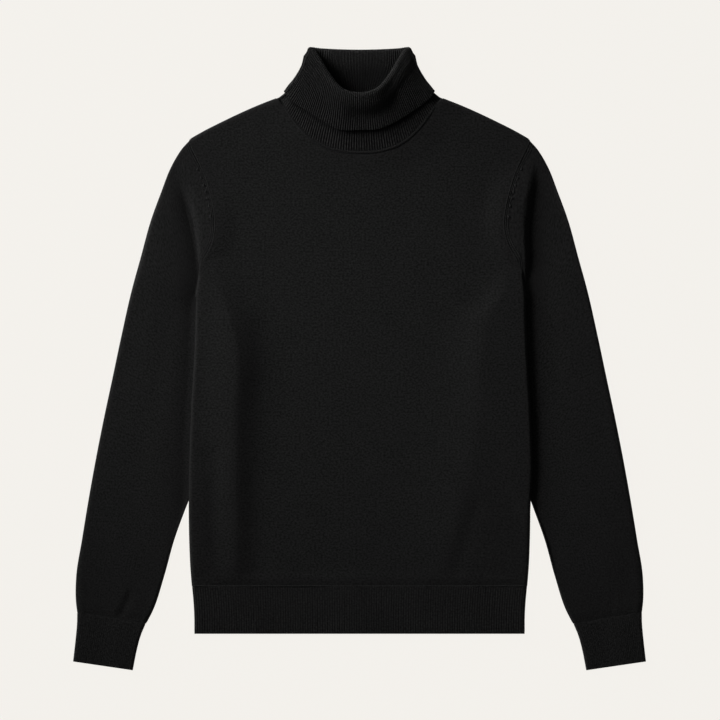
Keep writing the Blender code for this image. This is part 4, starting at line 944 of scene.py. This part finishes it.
    def rings(self):
        """Closed rings, in order up the inside, over the fold, down the turnover and back down the stand."""
        at = self.fine
        edge = self.edge_share(at)
        base_in = full_turn(self.inner, self.base_at, at)
        base_out = full_turn(self.outer, self.base_at, at)
        rings = [base_in]
        for share in INSIDE_SHARES:
            rings.append(self.layer(at, share, -RIB / 2.0 - self.wales(at, share, False)))
        out, up = self.directions(at, 1.0)
        centre = self.stand(at, 1.0) + out * (RIB + FOLD_GAP) / 2.0
        over = self.wales(at, 1.0, True)[:, None]
        for turn in FOLD_TURNS:
            angle = np.radians(turn)
            point = centre + (FOLD_ROUND + over) * (up * np.sin(angle) - out * np.cos(angle))
            point[:, 2] = np.maximum(point[:, 2], 0.0)
            rings.append(point)
        for part in TURNOVER_PARTS:
            share = edge + (1.0 - edge) * part
            bound = 1.0 - EDGE_BOUND * (1.0 - smooth(part, 0.0, 0.06))
            rib = self.wales(at, share, True) * bound
            rings.append(self.layer(at, share, self.stand_off(at, share) + RIB / 2.0 + rib))
        for part in UNDERSIDE_PARTS:
            share = edge + (1.0 - edge) * part
            rings.append(self.layer(at, share, self.stand_off(at, share) - RIB / 2.0))
        for part in UNDERSIDE_PARTS[::-1]:
            rings.append(self.layer(at, edge + (1.0 - edge) * part, RIB / 2.0))
        seen = 1.0 - smooth(self.near(at), FRONT_HALF_RIBS - 14, FRONT_HALF_RIBS - 4)
        for part in STAND_PARTS:
            share = edge * part
            rib = self.wales(at, share, False) * STAND_RELAXES * seen * smooth(part, 0.0, 0.2)
            rings.append(self.layer(at, share, RIB / 2.0 + rib))
        rings.append(base_out)
        return np.array(rings)


# ---------------------------------------------------------------------------
# Meshes
# ---------------------------------------------------------------------------


def mesh_object(name, points, quads, coordinates, material, sharp=50.0):
    """An object from points in millimetres, faces of four corners, and knit coordinates for each corner."""
    mesh = bpy.data.meshes.new(name)
    mesh.vertices.add(len(points))
    mesh.vertices.foreach_set("co", (points * MM).astype(np.float32).ravel())
    mesh.loops.add(quads.size)
    mesh.loops.foreach_set("vertex_index", quads.astype(np.int32).ravel())
    mesh.polygons.add(len(quads))
    mesh.polygons.foreach_set("loop_start", np.arange(0, quads.size, 4, dtype=np.int32))
    mesh.update(calc_edges=True)
    knit = mesh.uv_layers.new(name="knit")
    knit.uv.foreach_set("vector", coordinates.astype(np.float32).ravel())
    mesh.shade_smooth()
    mesh.set_sharp_from_angle(angle=np.radians(sharp))
    mesh.materials.append(material)
    piece = bpy.data.objects.new(name, mesh)
    bpy.context.scene.collection.objects.link(piece)
    return piece


def face_grid(shape, closed_rows, closed_columns):
    """Quads over a grid of points, as point numbers and as the rows and columns of their corners."""
    rows, columns = shape
    row = np.arange(rows if closed_rows else rows - 1)
    column = np.arange(columns if closed_columns else columns - 1)
    row, column = (part.ravel() for part in np.meshgrid(row, column, indexing="ij"))
    corner_rows = np.column_stack([row, row, row + 1, row + 1])
    corner_columns = np.column_stack([column, column + 1, column + 1, column])
    numbers = (corner_rows % rows) * columns + corner_columns % columns
    return numbers, corner_rows, corner_columns


def corner_knit(across, up, corner_rows, corner_columns):
    """Knit coordinates of the corners, from tables with one more row or column where the grid is closed."""
    corner_rows = np.minimum(corner_rows, across.shape[0] - 1)
    corner_columns = np.minimum(corner_columns, across.shape[1] - 1)
    return np.stack([table[corner_rows, corner_columns] for table in (across, up)], axis=-1)


def fan(ring):
    """Quads that close a ring of points."""
    return [(ring[0], *ring[step + 1:step + 4]) for step in range(0, len(ring) - 2, 2)]


def running_length(rows):
    """How far each row of points is from the first, along the cloth."""
    lengths = np.linalg.norm(np.diff(rows, axis=0), axis=2).mean(axis=1)
    return np.concatenate([[0.0], np.cumsum(lengths)])[:, None]


def wall(name, outer, inner, across, up, closed, material):
    """A cloth wall from outer and inner points, with rims. Across and up are its knit coordinates."""
    rows, columns = outer.shape[:2]
    count = rows * columns
    numbers, corner_rows, corner_columns = face_grid((rows, columns), False, closed)
    knit = corner_knit(across, up, corner_rows, corner_columns)
    faces, knits = [numbers, numbers[:, ::-1] + count], [knit, knit[:, ::-1]]
    index = np.arange(count).reshape(rows, columns)
    if closed:
        borders = [np.append(index[0], index[0, 0])[::-1], np.append(index[-1], index[-1, 0])]
    else:
        borders = [np.concatenate([index[0], index[1:, -1], index[-1, -2::-1], index[-2::-1, 0]])[::-1]]
    for border in borders:
        here, after = border[:-1], border[1:]
        faces.append(np.column_stack([here, after, after + count, here + count]))
        knits.append(np.zeros((len(here), 4, 2)) + np.arange(len(here))[:, None, None])
    points = np.vstack([outer.reshape(-1, 3), inner.reshape(-1, 3)])
    return mesh_object(name, points, np.vstack(faces), np.vstack(knits), material)


def ring_wall(name, rings, across, up, material):
    """A cloth wall from closed rings, each joined to the next and the last to the first."""
    numbers, corner_rows, corner_columns = face_grid(rings.shape[:2], True, True)
    return mesh_object(
        name, rings.reshape(-1, 3), numbers, corner_knit(across, up, corner_rows, corner_columns), material,
    )


def rib_knit(half_ribs, points):
    """Knit coordinates of ribs: their count across, and the length along them."""
    up = running_length(points)
    return half_ribs * RIB_UNIT + np.zeros_like(up), up + np.zeros_like(half_ribs)


def tube_knit(points):
    """Knit coordinates of a tube: the length round it and the length along it."""
    steps = np.linalg.norm(np.diff(np.concatenate([points, points[:, :1]], axis=1), axis=1), axis=2)
    around = np.column_stack([np.zeros(len(points)), np.cumsum(steps, axis=1)])
    across = around / around[:, -1:] * steps.sum(axis=1).mean()
    return across, running_length(points) + np.zeros_like(across)


def cord_points(line, normals, beads, at):
    """Rings of a flattened cord along a line, thinner between its beads."""
    side = unit(np.cross(unit(np.gradient(line, axis=0)), normals))
    size = 1.0 - BEAD_DEPTH * np.abs(np.cos(np.pi * at / beads.pitch))[:, None] ** 3
    rings = []
    for turn in np.linspace(0.0, 2.0 * np.pi, CORD_SIDES, endpoint=False):
        across, over = beads.width / 2.0 * np.cos(turn), beads.height / 2.0 * np.sin(turn)
        rings.append(line + size * (side * across + normals * over))
    return np.stack(rings, axis=1)


def cord(name, line, normals, beads, material):
    """A row of stitches that lies on the cloth as a low beaded cord, with closed ends."""
    keys = chord_keys(line)
    at = np.linspace(0.0, keys[-1], max(4, int(keys[-1] / beads.pitch * BEAD_RINGS)))
    fine = through(np.column_stack([keys, line]), at)
    rings = cord_points(fine, unit(read_line(at, keys, normals)), beads, at)
    numbers, corner_rows, corner_columns = face_grid(rings.shape[:2], False, True)
    knit = np.stack([corner_columns * beads.width / 2.0, corner_rows * beads.pitch / BEAD_RINGS], axis=-1)
    first = np.arange(CORD_SIDES)
    caps = np.array(fan(first[::-1]) + fan(first + (len(at) - 1) * CORD_SIDES))
    faces = np.vstack([numbers[:, ::-1], caps])
    knits = np.vstack([knit[:, ::-1], np.zeros((len(caps), 4, 2))])
    return mesh_object(name, rings.reshape(-1, 3), faces, knits, material, sharp=180.0)


# ---------------------------------------------------------------------------
# Materials
# ---------------------------------------------------------------------------


class Shader:
    """Short ways to add and join the nodes of one material."""

    def __init__(self, name):
        self.material = bpy.data.materials.new(name)
        self.material.use_nodes = True
        self.tree = self.material.node_tree
        self.principled = self.tree.nodes["Principled BSDF"]

    def put(self, socket, value):
        if isinstance(value, bpy.types.NodeSocket):
            self.tree.links.new(value, socket)
        else:
            socket.default_value = value

    def node(self, kind, **settings):
        made = self.tree.nodes.new(kind)
        for name, value in settings.items():
            setattr(made, name, value)
        return made

    def math(self, operation, *values):
        made = self.node("ShaderNodeMath", operation=operation)
        for socket, value in zip(made.inputs, values):
            self.put(socket, value)
        return made.outputs[0]

    def noise(self, vector, pattern):
        made = self.node("ShaderNodeTexNoise")
        self.put(made.inputs["Vector"], vector)
        for name, value in zip(("Scale", "Detail", "Roughness"), pattern):
            self.put(made.inputs[name], value)
        return made.outputs["Fac"]

    def between(self, value, low, high, to_low, to_high):
        made = self.node("ShaderNodeMapRange")
        for socket, part in zip(made.inputs, (value, low, high, to_low, to_high)):
            self.put(socket, part)
        return made.outputs[0]

    def mix(self, value, dark, light):
        """A mix from a dark colour to a light one, or to the colour of another node."""
        made = self.node("ShaderNodeMix", data_type="RGBA")
        first, second = (socket for socket in made.inputs if socket.type == "RGBA")
        self.put(made.inputs["Factor"], value)
        self.put(first, (*dark, 1.0))
        self.put(second, light if isinstance(light, bpy.types.NodeSocket) else (*light, 1.0))
        return next(socket for socket in made.outputs if socket.type == "RGBA")

    def knit_place(self):
        """The knit coordinates, in millimetres across the wales and up the courses."""
        uv = self.node("ShaderNodeUVMap", uv_map="knit")
        split = self.node("ShaderNodeSeparateXYZ")
        self.put(split.inputs[0], uv.outputs[0])
        return uv.outputs[0], split.outputs["X"], split.outputs["Y"]

    def bump(self, height, distance, strength):
        made = self.node("ShaderNodeBump")
        for name, value in (("Height", height), ("Distance", distance), ("Strength", strength)):
            self.put(made.inputs[name], value)
        return made.outputs["Normal"]

    def surface(self, values):
        """Sets the material's own inputs."""
        for name, value in values.items():
            self.put(self.principled.inputs[name], value)
        return self.material


def stitch_height(shader, across, up, wale_width, course):
    """Height of plain knitting: columns of V-shaped stitches whose two legs lean towards each other."""
    math = shader.math
    from_middle = math("ABSOLUTE", math("SUBTRACT", math("FRACT", math("DIVIDE", across, wale_width)), 0.5))
    slant = math("MULTIPLY", from_middle, STITCH_SLANT)
    row = math("FRACT", math("SUBTRACT", math("DIVIDE", up, course), slant))
    leg = math("SINE", math("MULTIPLY", row, np.pi))
    round_ = math("SINE", math("MULTIPLY", math("PINGPONG", from_middle, 0.25), 2.0 * np.pi))
    return math("MULTIPLY", math("POWER", leg, 0.6), math("POWER", round_, 0.5))


def painted_rib_light_and_shade(shader, across, up, valley_shade, fold_light, lip):
    """Painted light and shade on ribs: darker in their valleys where shade falls, darker off the collar's
    fold and lighter over it as a painted highlight, and a painted shade line beside a free edge.
    """
    math, between = shader.math, shader.between
    height = math("ABSOLUTE", math("SINE", math("MULTIPLY", across, np.pi / 2.0 / RIB_UNIT)))
    share = between(height, 0.25, 0.97, valley_shade, 1.0)
    # painted highlight over the collar's fold, and painted shade before and after it
    if fold_light is not None:
        rising = between(up, fold_light.starts, fold_light.full, OFF_FOLD_PAINTED_SHADE[0], 1.0)
        falling = between(up, fold_light.easing, fold_light.ends, 1.0, OFF_FOLD_PAINTED_SHADE[1])
        share = math("MULTIPLY", share, math("MINIMUM", rising, falling))
    if lip is not None:
        before = between(up, lip[0] - LIP_FADES[0], lip[0], 1.0, LIP_SHADE)
        after = between(up, lip[1] + LIP_FADES[1], lip[1] + LIP_FADES[2], LIP_SHADE, 1.0)
        share = math("MULTIPLY", share, math("MAXIMUM", before, after))
    return share


def knit_material(name, wale_width, course, relief, valley_shade=None, light=YARN_LIGHT, fold_light=None, lip=None):
    """Charcoal yarn: fine V stitches with painted shade in their hollows, speckled uneven colour and a short
    fuzz that lightens grazing views, with painted shade in the rib valleys where that share is given.
    """
    shader = Shader(name)
    math, between = shader.math, shader.between
    vector, across, up = shader.knit_place()
    stitches = stitch_height(shader, across, up, wale_width, course)
    stretched = shader.node("ShaderNodeMapping")
    shader.put(stretched.inputs["Vector"], vector)
    shader.put(stretched.inputs["Scale"], SPECK_STRETCH)
    specks = shader.noise(stretched.outputs[0], SPECKS)
    speckled = between(specks, *NOISE_SPAN, -SPECK_TONE, SPECK_TONE)
    patchy = between(shader.noise(vector, PATCHES), *NOISE_SPAN, -PATCH_TONE, PATCH_TONE)
    # the stitches' part of the tone is painted shade in their hollows and painted light on their legs
    tone = math("ADD", math("ADD", speckled, patchy), between(stitches, 0.0, 1.0, -STITCH_PAINTED_SHADE, STITCH_PAINTED_SHADE))
    colour = shader.mix(between(tone, -TONE_SPAN, TONE_SPAN, 0.0, 1.0), YARN_DARK, light)
    # painted shade in the rib valleys, and on the collar its painted highlight and shade
    if valley_shade is not None:
        colour = shader.mix(painted_rib_light_and_shade(shader, across, up, valley_shade, fold_light, lip), YARN_DARK, colour)
    height = math("ADD", stitches, math("MULTIPLY", shader.noise(vector, FUZZ), FUZZ_HEIGHT))
    return shader.surface({
        "Base Color": colour,
        "Roughness": between(specks, *NOISE_SPAN, 0.86, 0.97),
        "Specular IOR Level": 0.08,
        "Sheen Weight": SHEEN,
        "Sheen Roughness": 0.45,
        "Sheen Tint": (0.94, 0.97, 1.0, 1.0),
        "Normal": shader.bump(height, relief * MM, 0.8),
    })


def paper_material():
    """Evenly lit paper: most of its light is its own, as under a light table, so that it stays even."""
    shader = Shader("paper_floor")
    place = shader.node("ShaderNodeNewGeometry").outputs["Position"]
    return shader.surface({
        "Base Color": shader.mix(shader.noise(place, PAPER_CLOUDS), PAPER_DARK, PAPER_LIGHT),
        "Roughness": 0.95,
        "Specular IOR Level": 0.0,
        "Emission Color": PAPER_GLOW,
        "Emission Strength": 1.0,
    })


# ---------------------------------------------------------------------------
# The garment
# ---------------------------------------------------------------------------


def dress(piece, slot, *nodes):
    """Puts a piece on the frame, in place of its solids."""
    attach(piece, "root")
    if nodes:
        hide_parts(*nodes)
    return piece


def sew(name, line, normal, beads, material, slot="stockinette"):
    """A seam along a line on the cloth, with the direction out of the cloth."""
    return dress(cord(name, line, np.zeros_like(line) + np.array(normal), beads, material), slot)


def mark_points(places, size):
    """Low oval bumps at places, each a small dome of stitches pulled together."""
    points, faces = [], []
    turns = np.linspace(0.0, 2.0 * np.pi, MARK_SIDES, endpoint=False)
    for x, y, z, lean in places:
        start = len(points)
        along_, across_ = np.array([np.cos(lean), np.sin(lean)]), np.array([-np.sin(lean), np.cos(lean)])
        for share, height in MARK_RINGS:
            for turn in turns:
                flat = size[0] * share * np.cos(turn) * along_ + size[1] * share * np.sin(turn) * across_
                points.append((x + flat[0], y + flat[1], z + height))
        rings = start + np.arange(len(MARK_RINGS) * MARK_SIDES).reshape(len(MARK_RINGS), MARK_SIDES)
        for lower, upper in zip(rings, rings[1:]):
            faces.extend(np.column_stack([lower, np.roll(lower, -1), np.roll(upper, -1), upper]))
        faces.extend(fan(rings[-1]))
        faces.extend(fan(np.roll(rings[0][::-1], 1)))
    return np.array(points), np.array(faces)


def offset_line(outer, columns, away):
    """The line on a sleeve's upper side that runs at a distance from the armhole's seam."""
    runs = [outer[:, column] for column in range(*columns)]
    return np.array([read_line([TUCK_IN + away], chord_keys(run[:, :2]), run)[0] for run in runs])


def fashioning(name, outer, sign, material):
    """The marks that fully fashioned knitting leaves where its armhole was narrowed."""
    line = offset_line(outer, SEAM_COLUMNS, MARKS_AWAY)
    places = along(line, MARK_SHARES)
    ahead = along(line, np.array(MARK_SHARES) + 0.01) - places
    leans = np.arctan2(ahead[:, 1], ahead[:, 0]) + MARK_LEAN * sign
    points, faces = mark_points(np.column_stack([places, leans]), MARK_SIZE)
    made = mesh_object(name, points, faces, points[faces][:, :, :2], material, sharp=180.0)
    return dress(made, "stockinette")


def build_body(jersey, rib):
    """The two panels and their hem ribs. Returns the cloths, and the panels' outer and inner points."""
    pieces, found = {}, []
    parts = ("front", 1, FRONT_NECKLINE, FRONT_SAMPLING), ("back", -1, BACK_NECKLINE, BACK_SAMPLING)
    for part, face, neckline, sampling in parts:
        outer, inner = (settled_left(points) for points in panel(face, neckline, sampling))
        made = wall(part + "_body", outer, inner, outer[:, :, 0], outer[:, :, 1], False, jersey)
        pieces[part] = dress(made, "stockinette", part + "_panel")
        found += [outer, inner]
    half_ribs = np.linspace(0.0, 2.0 * HEM_RIBS, RIB_SAMPLES * HEM_RIBS + 1)
    for part, face, _, _ in parts:
        name = part + "_hem"
        outer, inner = (points[:, ::-face] for points in hem(face))
        made = wall(name, outer, inner, *rib_knit(half_ribs[::-face], outer), False, rib)
        pieces[name] = dress(made, "rib_knit", name + "_rib")
    return pieces, found


def build_sleeve(side, sign, creases, jersey, rib):
    """A sleeve and its cuff, and the sleeve's outer points."""
    first, column = COARSE_SAMPLING.body_rows, -1 if sign > 0 else 0
    necklines = (1, FRONT_NECKLINE), (-1, BACK_NECKLINE)
    seams = [panel(face, neckline, COARSE_SAMPLING)[0][first:, column] for face, neckline in necklines]
    seams = [seam * (sign, 1.0, 1.0) for seam in seams]
    outer, inner = (settled_left(points) for points in sleeve(*seams, creases, sign))
    tube = wall(side + "_arm", outer, inner, *tube_knit(outer), True, jersey)
    dress(tube, "stockinette", side + "_sleeve")
    cuff_outer, cuff_inner = cuff(sign)
    top = np.linspace(0.0, 2.0 * CUFF_RIBS, RIB_SAMPLES * CUFF_RIBS + 1)
    around = np.concatenate([top, top[::-1][1:]])
    band = wall(side + "_wrist", cuff_outer, cuff_inner, *rib_knit(around, cuff_outer), True, rib)
    dress(band, "rib_knit", side + "_cuff")
    return tube, band, outer


def build_collar(neck):
    """The collar, with its own yarn."""
    rings = neck.rings()
    across, up = collar_knit(neck, rings)
    yarn = knit_material(
        "collar_yarn", 2.0 * RIB_UNIT, RIB_COURSE, 0.3,
        COLLAR_VALLEY_PAINTED_SHADE, COLLAR_LIGHT, FOLD_PAINTED_HIGHLIGHT, collar_lip(up),
    )
    return dress(ring_wall("roll_neck", rings, across, up, yarn), "rib_knit", "collar")


def build_seams(side, sign, outer, front, jersey, seam):
    """The seams and marks of a sleeve, and the body's seams beside it."""
    made = []
    for number, (away, beads) in enumerate(ARMHOLE_ROWS):
        row = offset_line(outer, SEAM_COLUMNS, away)
        made.append(sew(side + "_armhole_row_" + str(number), row, UP, beads, seam))
    made.append(fashioning(side + "_fashioning", outer, sign, seam))
    middle = front.shape[1] // 2
    flank = front[:FRONT_SAMPLING.body_rows - 2, -1 if sign > 0 else 0] + (0.1 * sign, 0.0, -SEAM_GAP / 2.0)
    shoulder_columns = middle + sign * np.arange(FRONT_SAMPLING.neck_steps + 1, middle - 3)
    shoulder = front[-1, shoulder_columns] + (0.0, 0.0, -SEAM_GAP / 2.0)
    underarm = outer[UNDERARM_RING * (SLEEVE_FINE + 2):-1, 0]
    wrist = outer[-1, WRIST_FROM:outer.shape[1] // 2 - WRIST_FROM] + (0.0, 0.0, -0.1)
    made.append(sew(side + "_side_seam", flank, (sign, 0.0, 0.0), SIDE_SEAM, seam))
    made.append(sew(side + "_shoulder_seam", shoulder, (0.4 * sign, 0.9, 0.0), SHOULDER_SEAM, seam))
    made.append(sew(side + "_underarm_seam", underarm, (-sign, 0.3, 0.0), UNDERARM_SEAM, seam))
    made.append(sew(side + "_wrist_join", wrist, UP, WRIST_JOIN, jersey, "rib_knit"))
    return made


def build():
    """Makes every piece, with its yarns, and puts it on the frame."""
    jersey = knit_material("stockinette_yarn", WALE, COURSE, 0.35)
    rib = knit_material("rib_yarn", 2.0 * RIB_UNIT, RIB_COURSE, 0.3, HEM_VALLEY_PAINTED_SHADE, HEM_LIGHT)
    wrist_rib = knit_material("wrist_yarn", 2.0 * RIB_UNIT, RIB_COURSE, 0.12, CUFF_VALLEY_PAINTED_SHADE)
    # the seams' yarn has painted sheen: it is coloured lighter than the body's
    seam = knit_material("seam_yarn_painted_sheen", SEAM_STITCH, SEAM_STITCH, 0.25, light=SEAM_PAINTED_SHEEN)
    pieces, body = build_body(jersey, rib)
    neck, front = Collar(*body), body[0]
    collar = build_collar(neck)
    neckline = full_turn(neck.linking, neck.base_at, np.linspace(-FRONT_HALF_RIBS, FRONT_HALF_RIBS, 240))
    hem_line = front[0, 3:-3] + (0.0, -SEAM_GAP / 2.0, -0.1)
    seams = [
        sew("neckline_linking", neckline + (0.0, 0.0, 0.2), UP, LINKING, jersey, "rib_knit"),
        sew("hem_join", hem_line, UP, HEM_JOIN, seam),
    ]
    for side, sign, creases in (("left", 1, LEFT_SLEEVE_CREASES), ("right", -1, RIGHT_SLEEVE_CREASES)):
        tube, band, outer = build_sleeve(side, sign, creases, jersey, wrist_rib)
        pieces.update({side + "_arm": tube, side + "_wrist": band})
        seams += build_seams(side, sign, outer, front, jersey, seam)


def collar_knit(neck, rings):
    """Knit coordinates of the collar: across its ribs, and along the cloth over the fold."""
    across = np.append(neck.fine, 2 * COLLAR_RIBS) * RIB_UNIT + np.zeros((len(rings) + 1, 1))
    up = running_length(rings)
    return across, np.vstack([up, up[-1] + 2.0]) + np.zeros_like(across)


def collar_lip(up):
    """Where along the collar's cloth its free edge begins, and where the stand comes out from under it."""
    edge = len(INSIDE_SHARES) + len(FOLD_TURNS) + len(TURNOVER_PARTS)
    return up[edge, 0], up[edge + 2 * len(UNDERSIDE_PARTS) + 1, 0]


def build_stage():
    """A pale paper floor, a soft sky and one large lamp at the upper left."""
    mesh = bpy.data.meshes.new("floor")
    corners = [(x * FLOOR_REACH, y * FLOOR_REACH, 0.0) for x, y in ((-1, -1), (1, -1), (1, 1), (-1, 1))]
    mesh.from_pydata(corners, [], [(0, 1, 2, 3)])
    mesh.materials.append(paper_material())
    floor = bpy.data.objects.new("floor", mesh)
    bpy.context.scene.collection.objects.link(floor)
    world = bpy.data.worlds.new("sky")
    bpy.context.scene.world = world
    world.use_nodes = True
    background = world.node_tree.nodes["Background"]
    background.inputs["Color"].default_value = SKY
    background.inputs["Strength"].default_value = SKY_STRENGTH
    light = bpy.data.lights.new("window", "AREA")
    light.energy = LAMP_WATTS
    light.size = LAMP_SIZE
    light.spread = np.radians(LAMP_SPREAD)
    lamp = bpy.data.objects.new("window", light)
    lamp.location = LAMP_PLACE
    lamp.rotation_euler = (Vector(LAMP_AIM) - Vector(LAMP_PLACE)).to_track_quat("-Z", "Y").to_euler()
    bpy.context.scene.collection.objects.link(lamp)
    camera_data = bpy.data.cameras.new("above")
    camera_data.type = "ORTHO"
    camera_data.ortho_scale = CAMERA_SPAN
    camera = bpy.data.objects.new("above", camera_data)
    camera.location = CAMERA_PLACE
    bpy.context.scene.collection.objects.link(camera)
    bpy.context.scene.camera = camera
    bpy.context.scene.view_settings.view_transform = "Standard"
    bpy.context.scene.view_settings.look = "None"


build()
build_stage()
